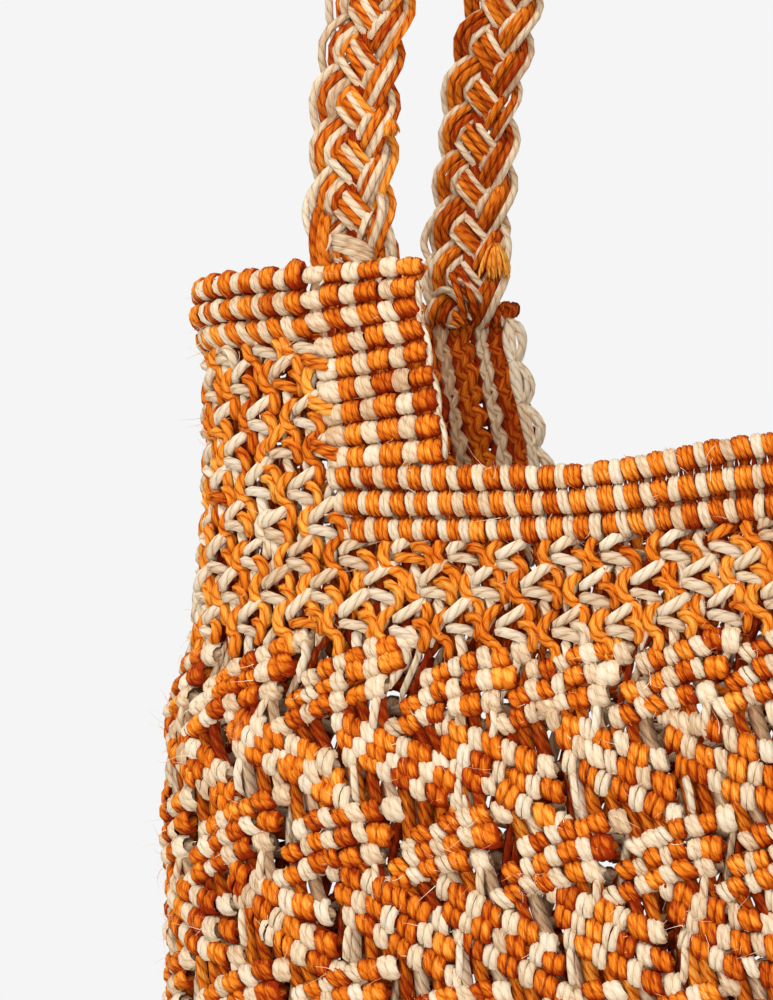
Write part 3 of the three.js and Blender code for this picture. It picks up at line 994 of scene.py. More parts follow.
def rim_row(row):
    """Height of a rim's row."""
    share = (row + 0.5) / RIM_CORDS
    return lambda s: rim_bottom(s) * (1 - share) + rim_top(s) * share


def make_rims(material):
    half_pitch = (RIM_TOP - RIM_BOTTOM) / RIM_CORDS / 2
    rows = [(rim_row(row), half_pitch) for row in range(RIM_CORDS)]
    for face, start in (("front", 0), ("back", PERIMETER / 2)):
        def edges(height, start=start):
            return start + tab_outer_edge(height), start + PERIMETER / 2 - tab_outer_edge(height)

        first, last = edges(RIM_TOP)
        pattern = alternating(last - first, RIM_HITCH, RIM_ORANGE_WIDTH)
        hitches = panel_hitches(edges, rows, pattern, RIM_LEAN, RIM_MIDDLE)
        bundle = corded_bundle(hitches, RIM_CORDS)
        bundle.piece(f"{face}_rim_cords", "rim_twine", [f"{face}_rim"], material)


def level(height):
    """Height of a level row."""
    return lambda s: np.full_like(s, height)


TOP_BUMP = 0.45  # how much taller the top row's orange hitches may be
TOP_DIP = 0.12  # how much lower its cream ones are
TOP_RISE = 1.8  # how far a hitch twice as tall is drawn up


def make_side_bands(material):
    pitch = (SIDE_TOP - SIDE_BAND_BOTTOM) / RIM_CORDS
    rows = [(level(SIDE_BAND_BOTTOM + (row + 0.5) * pitch), pitch / 2) for row in range(RIM_CORDS)]
    for side, middle in END_MIDDLES.items():
        def edges(height, middle=middle):
            return middle - tab_outer_edge(height), middle + tab_outer_edge(height)

        pattern = alternating(2 * TAB_OUTER_TOP, BAND_HITCH, BAND_ORANGE_WIDTH)
        hitches = panel_hitches(edges, rows, pattern, BAND_LEAN, WALL_MIDDLE)
        orange = hitches["paint"][:, 0] > 0.5
        top = hitches["z"] > SIDE_TOP - pitch
        taller = np.where(orange, random.uniform(0, TOP_BUMP, len(orange)), -TOP_DIP) * top
        hitches["up"] = hitches["up"] * (1 + taller)
        hitches["z"] = hitches["z"] + TOP_RISE * taller
        bundle = corded_bundle(hitches, RIM_CORDS)
        bundle.piece(f"{side}_band_cords", "rim_twine", [f"{side}_side_band"], material)


# Columns of a tab from its outer edge inward: colour and relative width
TAB_PATTERN = (
    (CREAM, 1.2), (ORANGE, 1.0), (CREAM, 0.85), (ORANGE, 1.2), (CREAM, 0.9), (ORANGE, 1.35),
)
TAB_LEAN = -0.15
TAB_FOOT = RIM_TOP + RIM_END_RISE
TAB_PITCH = (SIDE_TOP - TAB_FOOT) / TAB_CORDS
TAB_FIRST_ROW = 1.8  # above the foot, and the rows above it stand closer and closer
TAB_ROW_STEP = 7.35
TAB_ROW_CLOSING = 0.09
TAB_SLOPE = 0.12  # the middle rows rise towards the inner edge
TAB_PIVOT = 8  # from the inner edge to where a row keeps its height
LACED_ROWS = (0, 2, 4)
# Loops at the inner edge of front and back tabs: radius, then the reach and depth of each cord
LOOPS = {
    "front": (0.85, ((2.2, -3.2), (1.3, -4.9))),
    "back": (1.2, ((5.2, -5.2), (3.9, -7.0), (1.2, -7.6), (-0.4, -8.2))),
}
LOOP_PLACES = (-1.05, -0.8, 0, 0.8, 1.05)  # up a loop, in row pitches from its middle
LOOP_POINTS = 11
LOOP_ROOT = 1.6  # how far inside the edge a loop ends
LOOP_SPREAD = {"z": 0.4, "reach": 0.15, "depth": 0.3}


def add_edge_loops(bundle, edge, turn, face):
    """Cream cords that turn back at the tab's inner edge, each over two rows."""
    radius, layers = LOOPS[face]
    vary = varied_by(LOOP_SPREAD, None)
    paths = []
    for loop in range(TAB_CORDS // 2):
        z = TAB_FOOT + (2 * loop + 1) * TAB_PITCH
        for reach, deep in layers:
            points = []
            for share in LOOP_PLACES:
                height = z + share * TAB_PITCH + vary("z")
                out = reach * (1 - abs(share) ** 3) * vary("reach", 1)
                depth = deep + vary("depth")
                points.append((edge(height) + turn * (out - LOOP_ROOT), height, depth))
            paths.append(wall(*smooth_path(points, LOOP_POINTS).T))
    add_tubes(bundle, np.array(paths), radius, paint_for(np.full(len(paths), CREAM)))


# Course of a cord into the tab: how far inside the outer edge, how high and how far outward
LACING = (
    (-6.5, 3.4, -2.8), (-3.6, 1.6, -0.5), (-0.5, 0.2, 0.7), (2.4, -0.9, 0.4), (4.6, -1.6, -1.8),
)
LACING_RISE = 0.7  # of a row's pitch
LACING_PAIR = (0, -1.9)  # heights of the two cords at a row
LACING_POINTS = 10
LACING_SPREAD = 0.2  # how much their heights vary


def add_tab_lacing(bundle, edge, turn):
    """Orange cords that come out of the net into the tab's outer edge."""
    paths = []
    for row in LACED_ROWS:
        z = TAB_FOOT + (row + LACING_RISE) * TAB_PITCH
        for drop in LACING_PAIR:
            points = []
            for aside, rise, out in LACING:
                height = z + rise + drop + random.normal(0, LACING_SPREAD)
                points.append((edge(height) + turn * aside, height, out))
            paths.append(wall(*smooth_path(points, LACING_POINTS).T))
    add_tubes(bundle, np.array(paths), TWINE_RADIUS, paint_for(np.full(len(paths), ORANGE)))


def tab_row(row, inner, turn):
    """Height of a tab's row: the middle rows rise towards the inner edge."""
    middle = TAB_FOOT + TAB_FIRST_ROW + TAB_ROW_STEP * row - TAB_ROW_CLOSING * row**2
    slope = TAB_SLOPE * math.sin(math.pi * (row + 0.5) / TAB_CORDS)
    start = inner(middle)
    return lambda s: middle + slope * (turn * (s - start) + TAB_PIVOT)


def make_tabs(material, cord_material):
    for side, middle in END_MIDDLES.items():
        for face in ("front", "back"):
            turn = 1 if (side == "left") == (face == "front") else -1

            def outer(height, middle=middle, turn=turn):
                return middle + turn * tab_outer_edge(height)

            def inner(height, middle=middle, turn=turn):
                return middle + turn * tab_inner_edge(height)

            def edges(height, outer=outer, inner=inner):
                return sorted((outer(height), inner(height)))

            rows = [
                (tab_row(row, inner, turn), TAB_ROW_STEP / 2 - TAB_ROW_CLOSING * row)
                for row in range(TAB_CORDS)
            ]
            hitches = panel_hitches(edges, rows, TAB_PATTERN[::turn], TAB_LEAN, WALL_MIDDLE)
            lacing = Bundle()
            bundle = corded_bundle(hitches, TAB_CORDS, lacing)
            add_edge_loops(lacing, inner, turn, face)
            add_tab_lacing(lacing, outer, turn)
            node = f"{face}_{side}_tab"
            bundle.piece(f"{node}_cords", "tab_twine", [node], material)
            lacing.piece(f"{node}_lacing", "tab_twine", [node], cord_material)


# Stray fibres that stand off the cords, and tufts of them where a cord is frayed
FIBRE_COUNT = 5900
UPPER_FIBRE_COUNT = 2400
FIBRE_LENGTH = (2.5, 0.8)  # shape and scale of their spread of lengths
SHORTEST_FIBRE = 0.6
LONGEST_FIBRE = 4.5
FIBRE_DYE = 0.7  # stray fibres of orange cords are paler
# Painted light: stray fibres are painted lighter than their cords
FIBRE_SHADE = 1.25
TUFT_COUNT = 40
TUFT_FIBRES = 40
TUFT_COMBING = 1.6  # how much the fibres of a tuft lie one way
FIBRE_SPREAD = 2.8
FIBRE_STEPS = 4
FIBRE_WIDTH = 0.2
FIBRE_TAPER = 0.7  # share of its width that a fibre loses to its tip
FIBRE_BEND = 0.45  # of its length, at its tip
FIBRE_CURL = 0.5
FIBRE_RISE = 0.3  # how much fibres turn away from the wall
FIBRE_ROOT = 0.8  # of a wrap's relief, where they start
UPPER_FIBRE_ROOT = -0.8  # outside the outer face, where those of the upper zones start
FIBRE_REACH = np.array([217, 77, 560])  # no fibre goes beyond this
LOWEST_FIBRE = 0.5  # nor below this height


def fibre_lines(start, heading, length):
    """Thin curled strips from places on the cords."""
    count = len(start)
    bend = random.normal(0, 1, (count, 3))
    curl = random.normal(0, FIBRE_CURL, (count, 3))
    edge = np.cross(heading, bend)
    edge = edge / np.linalg.norm(edge, axis=1, keepdims=True)
    lines = []
    for step in np.linspace(0, 1, FIBRE_STEPS):
        course = heading * step + FIBRE_BEND * bend * step**2 + curl * step**3
        middle = start + length[:, None] * course
        wide = FIBRE_WIDTH * (1 - FIBRE_TAPER * step) / 2
        lines.append(np.stack([middle - edge * wide, middle + edge * wide], axis=1))
    points = np.clip(np.stack(lines, axis=1), -FIBRE_REACH, FIBRE_REACH)
    points[..., 2] = np.maximum(points[..., 2], LOWEST_FIBRE)
    return points


def add_fibres(bundle, s, z, outward, heading, orange):
    """Fibres that start at places on the wall."""
    count = len(s)
    start = wall(s, z, outward)
    away = wall(s, z, outward + 1) - start
    heading = heading / np.linalg.norm(heading, axis=1, keepdims=True) + FIBRE_RISE * away
    length = np.minimum(random.gamma(*FIBRE_LENGTH, count) + SHORTEST_FIBRE, LONGEST_FIBRE)
    points = fibre_lines(start, heading, length)
    paint = paint_for(FIBRE_DYE * orange, shade=FIBRE_SHADE)
    bundle.add_grids(points, paint, np.zeros(points.shape[:3] + (2,)))


def make_body_fibres(hitches, material):
    single = random.integers(0, len(hitches["s"]), FIBRE_COUNT)
    frayed = np.repeat(random.integers(0, len(hitches["s"]), TUFT_COUNT), TUFT_FIBRES)
    base = chosen(hitches, np.concatenate([single, frayed]))
    count = len(base["s"])
    s = base["s"] + random.uniform(-FIBRE_SPREAD, FIBRE_SPREAD, count)
    z = base["z"] + random.uniform(-FIBRE_SPREAD, FIBRE_SPREAD, count)
    combed = np.repeat(random.normal(0, TUFT_COMBING, (TUFT_COUNT, 3)), TUFT_FIBRES, axis=0)
    heading = random.normal(0, 1, (count, 3))
    heading[FIBRE_COUNT:] += combed
    outward = base["d"] + base["out"] + base["cord"] * FIBRE_ROOT
    bundle = Bundle()
    add_fibres(bundle, s, z, outward, heading, base["paint"][:, 0].round())
    bundle.piece("stray_fibres", "body_twine", ["wave_body"], material)


def make_upper_fibres(material):
    """Fibres of the net, the rims, the bands and the tabs."""
    s = random.uniform(0, PERIMETER, UPPER_FIBRE_COUNT)
    top = np.where(from_end(s) < TAB_INNER_TOP, SIDE_TOP, rim_top(s))
    z = WAVE_TOP + (top - WAVE_TOP) * random.random(UPPER_FIBRE_COUNT)
    bundle = Bundle()
    heading = random.normal(0, 1, (UPPER_FIBRE_COUNT, 3))
    orange = random.integers(0, 2, UPPER_FIBRE_COUNT)
    outward = np.full(UPPER_FIBRE_COUNT, UPPER_FIBRE_ROOT)
    add_fibres(bundle, s, z, outward, heading, orange)
    nodes = ["net_ring", "front_rim", "back_rim"]
    bundle.piece("upper_fibres", "net_twine", nodes, material)


# Handles: flat braids of four strands, each a bundle of cords
BRAID_STRANDS = 4
BRAID_PERIOD = 57
BRAID_SWING = 8.7
BRAID_DEPTH = 3.3
BRAID_FOOT = 9  # how far the braid's cords run down behind the tab
BRAID_STEP = 3.1
BRAID_CORD = 1.25
BRAID_CORE = 2.3  # a plain cord inside the braid
BRAID_CORE_STEP = 8
FOOT_INWARD = 5  # how far behind the tab's middle the feet are
FOOT_BLEND = 24  # above the tab, where the braid starts to turn in
# Cords of a strand, aside of its middle and outward, and how they sway: size and length of the sway
STRAND_CORDS = ((-3.1, 0), (-1.05, 0.9), (1.05, 0.9), (3.1, 0), (1.05, -0.9), (-1.05, -0.9))
SWAY_ASIDE = (0.6, 14)
SWAY_OUT = (0.4, 11)
SWAY_PHASE = 9
CORD_SPREAD = 0.4
CORD_OUT_SHARE = 0.5  # of that spread, outward
# Loose cords at a handle's feet: colour, and places to the right of the handle's middle, up and outward
FRONT_FOOT_CORDS = (
    (ORANGE, ((-9.6, 16, 2.0), (-10.8, 9, 4.4), (-11.4, 3, 4.0), (-11.2, -3, 0.5))),
    (ORANGE, ((-6.4, 13, 2.5), (-7.4, 8, 4.8), (-7.8, 2, 4.2), (-7.6, -3, 0.5))),
    (ORANGE, ((-8.4, 14, 2.0), (-9.2, 8, 4.0), (-9.6, 2, 3.8), (-9.4, -3, 0.5))),
    (CREAM, ((-6.5, 7.5, 2.0), (-3.5, 6.4, 5.0), (2.5, 4.2, 4.6), (6.0, 2.0, 1.5))),
    (CREAM, ((-6.5, 5.8, 2.0), (-3.5, 4.8, 5.2), (2.5, 2.6, 4.8), (6.0, 0.4, 1.5))),
    (CREAM, ((-6.0, 4.0, 2.0), (-3.0, 3.0, 5.2), (2.5, 1.0, 4.8), (6.0, -1.2, 1.5))),
    (CREAM, ((8.0, 13, 0.5), (11.0, 8, 2.4), (11.8, 3, 2.6), (11.0, -3, 0.5))),
    (CREAM, ((8.0, 20, 1.0), (9.6, 14, 4.2), (8.0, 8, 4.8), (4.6, 3, 2.0))),
    (CREAM, ((-11.0, 22, 0.5), (-14.0, 15, 1.0), (-13.0, 9, 1.8), (-10.4, 5, 1.5))),
)
BACK_FOOT_CORDS = (
    (CREAM, ((-6.0, 29, 3.0), (-11.5, 25, 3.2), (-14.2, 18, 2.6), (-12.0, 12, 2.0))),
    (CREAM, ((-11.0, 15, 1.0), (-12.6, 9, 3.4), (-12.0, 3, 4.0), (-10.0, -3, 1.5))),
    (CREAM, ((9.5, 24, 0.5), (12.4, 18, 2.0), (12.6, 12, 2.4), (10.5, 6, 1.0))),
    (CREAM, ((-4.0, 6, 2.0), (0.5, 4.6, 5.4), (4.0, 1.5, 5.0), (6.5, -3, 2.5))),
    (ORANGE, ((-2.5, 10, 2.0), (0.5, 6.0, 5.2), (3.0, 0, 5.4), (4.0, -6, 3.5))),
    (ORANGE, ((-5.0, 9, 2.0), (-2.5, 5.0, 5.2), (-0.5, -1, 5.4), (0.5, -7, 3.5))),
    (CREAM, ((-10.0, 1, 2.0), (-6.0, 2.6, 5.2), (-2.0, 0.5, 5.2), (1.0, -4, 3.0))),
)
FOOT_STEPS = 10
# Each handle: half its span, which side it is on, the colours of a strand's cords, where its braid
# starts, its loose cords, and its painted shade, the back one's darker: how dark its orange cords are
# painted, while its cream ones get half as much. Its left leg has a frayed end, with the place to the
# right of the handle's middle and up, and the size
HANDLES = {
    "front": {
        "half_span": FRONT_HANDLE_HALF_SPAN,
        "turn": 1,
        "strands": (CREAM, ORANGE, CREAM, ORANGE, CREAM, ORANGE),
        "shift": 8.6,
        "foot_cords": FRONT_FOOT_CORDS,
        "shade": 0.85,
        "fray": (12.0, 40, 0.45),
    },
    "back": {
        "half_span": BACK_HANDLE_HALF_SPAN,
        "turn": -1,
        "strands": (CREAM, ORANGE, ORANGE, CREAM, ORANGE, ORANGE),
        "shift": 0.2,
        "foot_cords": BACK_FOOT_CORDS,
        "shade": 0.75,
        "fray": (9.4, 17, 1.0),
    },
}
FRAY_STRANDS = 80
FRAY_LENGTH = 11.5
FRAY_LENGTHS = (0.75, 1.05)  # shares of it
FRAY_POINTS = 6
FRAY_SPREAD = 1.7
FRAY_ROOT = 0.25  # of the spread, at the top
FRAY_FLARE = 1.6  # how it widens downward
FRAY_CLOSING = 0.7  # and closes again
FRAY_LEAN = 0.8
FRAY_OUT = 4.6
FRAY_FLATNESS = 0.5
FRAY_RADIUS = 0.55
FRAY_SIDES = 3
# Painted light: the frayed end is painted lighter than the braid's cords
FRAY_SHADE = 1.3
ARCH_POINTS = 1500


def arch(half_span):
    """The handle's middle line from foot to foot: distances along it, x and z."""
    turn = np.linspace(math.pi, 0, ARCH_POINTS)
    across = np.abs(np.cos(turn) / half_span) ** HANDLE_POWER
    upward = np.abs(np.sin(turn) / HANDLE_RISE) ** HANDLE_POWER
    radius = (across + upward) ** (-1 / HANDLE_POWER)
    x = np.concatenate([[-half_span], radius * np.cos(turn), [half_span]])
    z = HANDLE_BASE + np.concatenate([[-BRAID_FOOT], radius * np.sin(turn), [-BRAID_FOOT]])
    along = np.concatenate([[0], np.cumsum(np.hypot(np.diff(x), np.diff(z)))])
    return along, x, z


class HandleLine:
    """The middle line of a handle, which cords are laid beside."""

    def __init__(self, half_span, turn):
        self.turn = turn
        self.along, self.x, self.z = arch(half_span)
        self.length = self.along[-1]
        self.slope_x = np.gradient(self.x, self.along)
        self.slope_z = np.gradient(self.z, self.along)
        tab_middle = (TAB_OUTER_TOP + TAB_INNER_TOP) / 2
        self.depth = wall(np.array(turn * tab_middle), np.array(float(SIDE_TOP)), WALL_MIDDLE)[1]

    def lay(self, place, across, out):
        """Points at a place along the line, to its right and toward the front."""
        place = np.clip(place, 0, self.length)
        height = np.interp(place, self.along, self.z)
        inward = FOOT_INWARD * np.clip((HANDLE_BASE + FOOT_BLEND - height) / FOOT_BLEND, 0, 1)
        return np.stack([
            np.interp(place, self.along, self.x) + across * np.interp(place, self.along, self.slope_z),
            self.depth - out + self.turn * inward,
            height - across * np.interp(place, self.along, self.slope_x),
        ], axis=-1)


def sway(steps, size, length, phase):
    return size * np.sin(steps / length + SWAY_PHASE * phase)


def braid_paths(line, shift):
    """Paths of the cords of all strands, strand by strand."""
    steps = np.linspace(0, line.length, int(line.length / BRAID_STEP))
    paths = []
    for strand in range(BRAID_STRANDS):
        phase = 2 * math.pi * ((steps - shift) / BRAID_PERIOD + strand / BRAID_STRANDS)
        swing = BRAID_SWING * np.cos(phase)
        lift = -BRAID_DEPTH * np.sin(3 * phase)
        rate = np.gradient(swing, steps)
        norm = np.hypot(rate, 1)
        for aside, raised in STRAND_CORDS:
            wobble = random.normal(0, CORD_SPREAD, 3)
            offset = aside + wobble[0] + sway(steps, *SWAY_ASIDE, wobble[1])
            out = lift + raised + wobble[1] * CORD_OUT_SHARE + sway(steps, *SWAY_OUT, wobble[2])
            paths.append(line.lay(steps - offset * rate / norm, swing + offset / norm, out))
    return np.array(paths)


def foot_paths(line, cords):
    """Paths of the loose cords at both feet."""
    paths = []
    for _, course in cords:
        across, up, out = smooth_path(course, FOOT_STEPS).T
        for place in (BRAID_FOOT + up, line.length - BRAID_FOOT - up):
            paths.append(line.lay(place, across, out))
    return np.array(paths)


def add_frayed_end(bundle, line, fray):
    """A bushy end of orange cord that hangs beside the braid."""
    across, up, size = fray
    fall = np.linspace(0, 1, FRAY_POINTS)[None, :]
    length = FRAY_LENGTH * size * random.uniform(*FRAY_LENGTHS, FRAY_STRANDS)[:, None]
    spread = FRAY_SPREAD * size * random.normal(0, 1, (2, FRAY_STRANDS, 1))
    widen = FRAY_ROOT + fall * (FRAY_FLARE - FRAY_CLOSING * fall)
    place = BRAID_FOOT + up - length * fall
    right = across + FRAY_LEAN * fall * size + spread[0] * widen
    out = FRAY_OUT + FRAY_FLATNESS * spread[1] * widen
    paint = paint_for(np.full(FRAY_STRANDS, ORANGE), shade=FRAY_SHADE)
    add_tubes(bundle, line.lay(place, right, out), FRAY_RADIUS * size**0.5, paint, FRAY_SIDES)


def add_braid_core(bundle, line):
    """A plain cord that fills the middle of the braid."""
    steps = np.linspace(BRAID_FOOT, line.length - BRAID_FOOT, int(line.length / BRAID_CORE_STEP))
    core = line.lay(steps, 0.0, 0.0)[None]
    add_tubes(bundle, core, BRAID_CORE, paint_for(np.array([ORANGE]), shade=DEEP_SHADE))


def make_handles(material):
    for face, handle in HANDLES.items():
        line = HandleLine(handle["half_span"], handle["turn"])
        shade = handle["shade"]
        colours = np.tile(handle["strands"], BRAID_STRANDS)
        shades = np.where(colours == ORANGE, shade, (1 + shade) / 2)
        foot_colours = np.repeat([colour for colour, _ in handle["foot_cords"]], 2)
        bundle = Bundle()
        braid = braid_paths(line, handle["shift"])
        add_tubes(bundle, braid, BRAID_CORD, paint_for(colours, shade=shades))
        feet = foot_paths(line, handle["foot_cords"])
        add_tubes(bundle, feet, BRAID_CORD, paint_for(foot_colours, shade=shade))
        add_frayed_end(bundle, line, handle["fray"])
        add_braid_core(bundle, line)
        bundle.piece(f"{face}_braid", "handle_twine", [f"{face}_handle"], material)


class Shader:
    """A short way to make a material's nodes."""

    def __init__(self, name):
        self.material = bpy.data.materials.new(name)
        self.material.use_nodes = True
        self.tree = self.material.node_tree
        self.tree.nodes.clear()

    def node(self, kind, inputs=(), **settings):
        made = self.tree.nodes.new(kind)
        for key, value in settings.items():
            setattr(made, key, value)
        for key, value in dict(inputs).items():
            if isinstance(value, bpy.types.NodeSocket):
                self.tree.links.new(value, made.inputs[key])
            else:
                made.inputs[key].default_value = value
        return made

    def math(self, operation, first, second=0.0, third=0.0):
        inputs = {0: first, 1: second, 2: third}
        return self.node("ShaderNodeMath", inputs, operation=operation).outputs[0]

    def ramp(self, value, stops):
        made = self.node("ShaderNodeValToRGB", {0: value})
        ramp = made.color_ramp
        while len(ramp.elements) < len(stops):
            ramp.elements.new(0.5)
        for element, (place, colour) in zip(ramp.elements, stops):
            element.position = place
            element.color = (*colour, 1)
        return made.outputs["Color"]


TWINE_LAY = 8.5  # length of one turn of the two plies
TWINE_GIRTH = 2 * math.pi * TWINE_RADIUS
STREAK_ALONG = 0.22  # streaks of fibres along the cord, to the millimetre
STREAK_SLANT = 0.5
STREAK_SEED = 37.0  # tells the streaks of cords of unlike tone apart
GROOVE_POWER = 0.45
GROOVE_MIDDLE = 0.75
PATCH_SCALE = 80.0  # to the metre
TONE_WEIGHT = 0.26
PATCH_WEIGHT = 0.4
SHADE_WEIGHT = 0.65
DIMMEST = 0.6  # share of its colour that a cord keeps where its shade is nothing
BUMP_STRENGTH = 0.75
BUMP_DISTANCE = 0.0006  # in metres
ROUGHEST = 0.98
FIBRE_GLOSS = -0.25
TWINE_SPECULAR = 0.08
# Twines: width of their fibres, and how much the groove between the plies shows in painted shade and in
# relief
TWINES = {
    "body_twine": (0.32, 0.2, 0.55),
    "body_cord": (0.32, 0.4, 1.1),
    "net_twine": (0.32, 0.4, 1.1),
    "rim_twine": (0.34, 0.2, 0.55),
    "tab_twine": (0.32, 0.2, 0.55),
    "tab_cord": (0.32, 0.4, 1.1),
    "handle_twine": (0.36, 0.3, 0.8),
}
# Colours from dark to light. The dark ones are the darker fibres and also the warm colour of painted
# shade, which the shade moves a cord towards
CREAM_STOPS = ((0.2, (0.55, 0.31, 0.16)), (0.5, (0.79, 0.62, 0.41)), (0.75, (0.81, 0.715, 0.56)))
ORANGE_STOPS = ((0.2, (0.32, 0.022, 0.001)), (0.5, (0.78, 0.19, 0.008)), (0.75, (0.92, 0.435, 0.07)))


def fibre_streaks(shader, along, around, tone, fibre_width):
    """Streaks of fibres, which run along the cord with a slant."""
    across = shader.math("MULTIPLY", around, 1 / fibre_width)
    place = shader.node("ShaderNodeCombineXYZ", {
        0: shader.math("MULTIPLY", along, STREAK_ALONG),
        1: shader.math("MULTIPLY_ADD", along, STREAK_SLANT, across),
        2: shader.math("MULTIPLY", tone, STREAK_SEED),
    }).outputs[0]
    return shader.node("ShaderNodeTexNoise", {
        "Vector": place, "Scale": 1.0, "Detail": 4.0, "Roughness": 0.62,
    }).outputs[0]


def ply_groove(shader, along, around):
    """Nothing in the groove between the two plies, and one on top of them."""
    around_turns = shader.math("MULTIPLY", around, 2 / TWINE_GIRTH)
    turns = shader.math("MULTIPLY_ADD", along, 2 / TWINE_LAY, around_turns)
    ply = shader.math("ABSOLUTE", shader.math("SINE", shader.math("MULTIPLY", turns, math.pi)))
    return shader.math("POWER", ply, GROOVE_POWER)


def twine_level(shader, fibre, tone, shade, groove, groove_shade):
    """Place in the colour ramps: the fibre's own, moved by tone and patches, and by painted shade: the
    cord's shade and the dark groove between the plies.
    """
    spot = shader.node("ShaderNodeTexCoord").outputs["Object"]
    patch = shader.node("ShaderNodeTexNoise", {
        "Vector": spot, "Scale": PATCH_SCALE, "Detail": 2.0,
    }).outputs[0]
    level = fibre
    for value, middle, weight in (
        (tone, 0.5, TONE_WEIGHT),
        (patch, 0.5, PATCH_WEIGHT),
        (shade, 1.0, SHADE_WEIGHT),
        (groove, GROOVE_MIDDLE, groove_shade),
    ):
        level = shader.math("MULTIPLY_ADD", shader.math("SUBTRACT", value, middle), weight, level)
    return level


def twine_material(name, fibre_width, groove_shade, groove_bump):
    """Two-ply jute: lengthwise fibres, the groove between the plies in relief and in painted shade,
    tones that vary by cord, and painted shade from each point's shade.
    """
    shader = Shader(name)
    paint = shader.node("ShaderNodeAttribute", attribute_name="paint")
    orange, tone, shade = shader.node("ShaderNodeSeparateColor", {0: paint.outputs["Color"]}).outputs
    grain = shader.node("ShaderNodeUVMap", uv_map="grain")
    along, around = shader.node("ShaderNodeSeparateXYZ", {0: grain.outputs["UV"]}).outputs[:2]
    fibre = fibre_streaks(shader, along, around, tone, fibre_width)
    groove = ply_groove(shader, along, around)
    level = twine_level(shader, fibre, tone, shade, groove, groove_shade)
    colour = shader.node("ShaderNodeMix", {
        0: orange,
        6: shader.ramp(level, CREAM_STOPS),
        7: shader.ramp(level, ORANGE_STOPS),
    }, data_type="RGBA").outputs[2]
    # painted shade also dims the colour
    dim = shader.math("MULTIPLY_ADD", shade, 1 - DIMMEST, DIMMEST)
    shaded_colour = shader.node("ShaderNodeVectorMath", {0: colour, 3: dim}, operation="SCALE").outputs[0]
    normal = shader.node("ShaderNodeBump", {
        "Height": shader.math("MULTIPLY_ADD", groove, groove_bump, fibre),
        "Strength": BUMP_STRENGTH,
        "Distance": BUMP_DISTANCE,
    })
    surface = shader.node("ShaderNodeBsdfPrincipled", {
        "Base Color": shaded_colour,
        "Roughness": shader.math("MULTIPLY_ADD", fibre, FIBRE_GLOSS, ROUGHEST),
        "Normal": normal.outputs[0],
        "Specular IOR Level": TWINE_SPECULAR,
    })
    shader.node("ShaderNodeOutputMaterial", {0: surface.outputs[0]})
    return shader.material


FLOOR_STOPS = ((0.3, (0.80, 0.80, 0.80)), (0.7, (0.83, 0.83, 0.83)))


def floor_material():
    """Pale paper with a faint mottle."""
    shader = Shader("pale_floor")
    spot = shader.node("ShaderNodeTexCoord").outputs["Object"]
    speck = shader.node("ShaderNodeTexNoise", {"Vector": spot, "Scale": 9.0, "Detail": 3.0}).outputs[0]
    colour = shader.ramp(speck, FLOOR_STOPS)
    surface = shader.node("ShaderNodeBsdfPrincipled", {"Base Color": colour, "Roughness": 0.85})
    shader.node("ShaderNodeOutputMaterial", {0: surface.outputs[0]})
    return shader.material


FLOOR_RADIUS = 1500
FLOOR_SIDES = 96


def make_floor():
    mesh = bpy.data.meshes.new("floor")
    radius = FLOOR_RADIUS * MM
    turns = np.linspace(0, 2 * math.pi, FLOOR_SIDES, endpoint=False)
    rim = [(radius * math.cos(turn), radius * math.sin(turn), 0) for turn in turns]
    mesh.from_pydata(rim, [], [list(range(FLOOR_SIDES))])
    mesh.materials.append(floor_material())
    floor = bpy.data.objects.new("floor", mesh)
    bpy.context.scene.collection.objects.link(floor)


# Camera: where the photograph was taken from, in millimetres
CAMERA_PLACE = (229, -1256, 188)
CAMERA_AXIS = (-0.2951, 1, 0.0833)
CAMERA_LENS = 160.6
CAMERA_SENSOR = 36


def make_camera():
    data = bpy.data.cameras.new("camera")
    data.lens = CAMERA_LENS
    data.sensor_width = CAMERA_SENSOR
    data.clip_end = 100
    camera = bpy.data.objects.new("camera", data)
    camera.location = Vector(CAMERA_PLACE) * MM
    camera.rotation_mode = "QUATERNION"
    camera.rotation_quaternion = Vector(CAMERA_AXIS).to_track_quat("-Z", "Y")
    bpy.context.scene.collection.objects.link(camera)
    bpy.context.scene.camera = camera


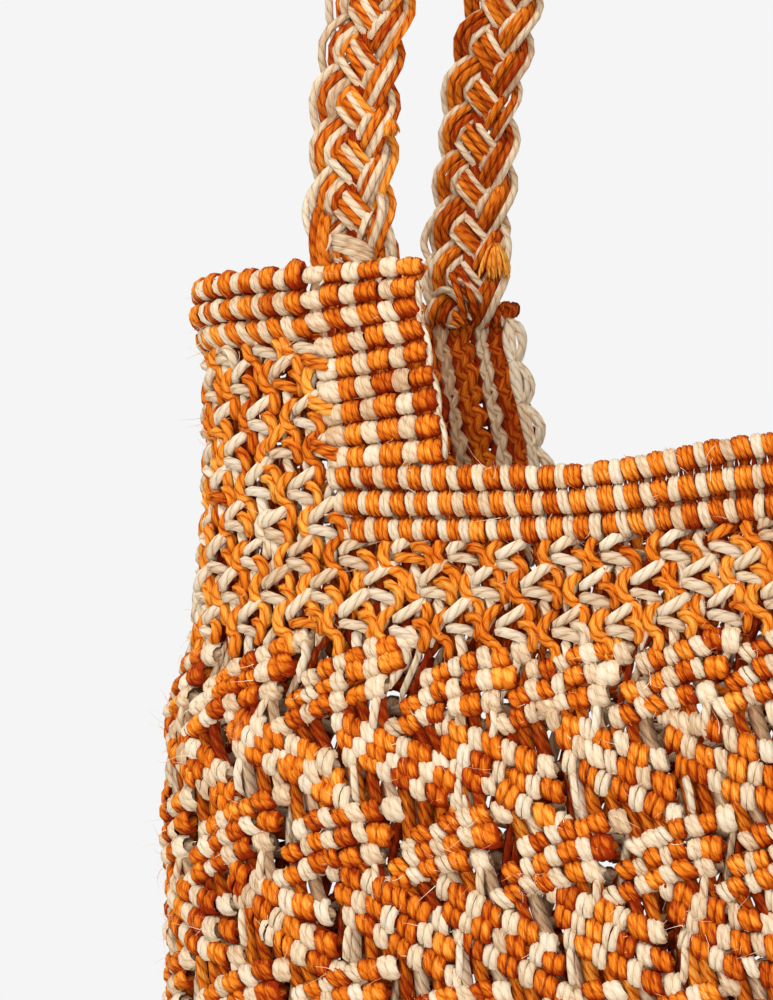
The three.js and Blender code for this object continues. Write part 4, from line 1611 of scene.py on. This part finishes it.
BACKGROUND = (0.913, 0.913, 0.913)
STUDIO_FILL = 0.74
# Lights: name, place in metres, size and power. All shine on the middle of the bag
LIGHTS = (
    ("key", (-0.35, -1.1, 1.75), 0.6, 15),
    ("front", (0.4, -1.9, 0.35), 0.9, 17),
    ("back", (-0.3, 2.0, 0.9), 1.2, 9),
)
LIGHT_TARGET = Vector((0, 0, 0.25))


def make_world():
    """A pale studio: the camera sees the plain background, and the bag gets a weaker even fill."""
    world = bpy.data.worlds.new("studio")
    world.use_nodes = True
    tree = world.node_tree
    sky = tree.nodes["Background"]
    sky.inputs["Color"].default_value = (*BACKGROUND, 1)
    fill = tree.nodes.new("ShaderNodeBackground")
    fill.inputs["Color"].default_value = (1, 1, 1, 1)
    fill.inputs["Strength"].default_value = STUDIO_FILL
    path = tree.nodes.new("ShaderNodeLightPath")
    choice = tree.nodes.new("ShaderNodeMixShader")
    tree.links.new(path.outputs["Is Camera Ray"], choice.inputs[0])
    tree.links.new(fill.outputs[0], choice.inputs[1])
    tree.links.new(sky.outputs[0], choice.inputs[2])
    tree.links.new(choice.outputs[0], tree.nodes["World Output"].inputs["Surface"])
    bpy.context.scene.world = world


def make_lights():
    for name, place, size, power in LIGHTS:
        data = bpy.data.lights.new(name, "AREA")
        data.size = size
        data.energy = power
        light = bpy.data.objects.new(name, data)
        light.location = place
        light.rotation_mode = "QUATERNION"
        light.rotation_quaternion = (LIGHT_TARGET - Vector(place)).to_track_quat("-Z", "Y")
        bpy.context.scene.collection.objects.link(light)


make_camera()
make_world()
make_lights()
make_floor()
bpy.context.scene.view_settings.view_transform = "Standard"

twine = {name: twine_material(name, *surface) for name, surface in TWINES.items()}
wave_wraps = make_wave_body(twine["body_twine"], twine["body_cord"])
make_base(twine["body_twine"])
make_nets(twine["net_twine"])
make_rims(twine["rim_twine"])
make_side_bands(twine["rim_twine"])
make_tabs(twine["tab_twine"], twine["tab_cord"])
make_handles(twine["handle_twine"])
make_body_fibres(wave_wraps, twine["body_twine"])
make_upper_fibres(twine["net_twine"])
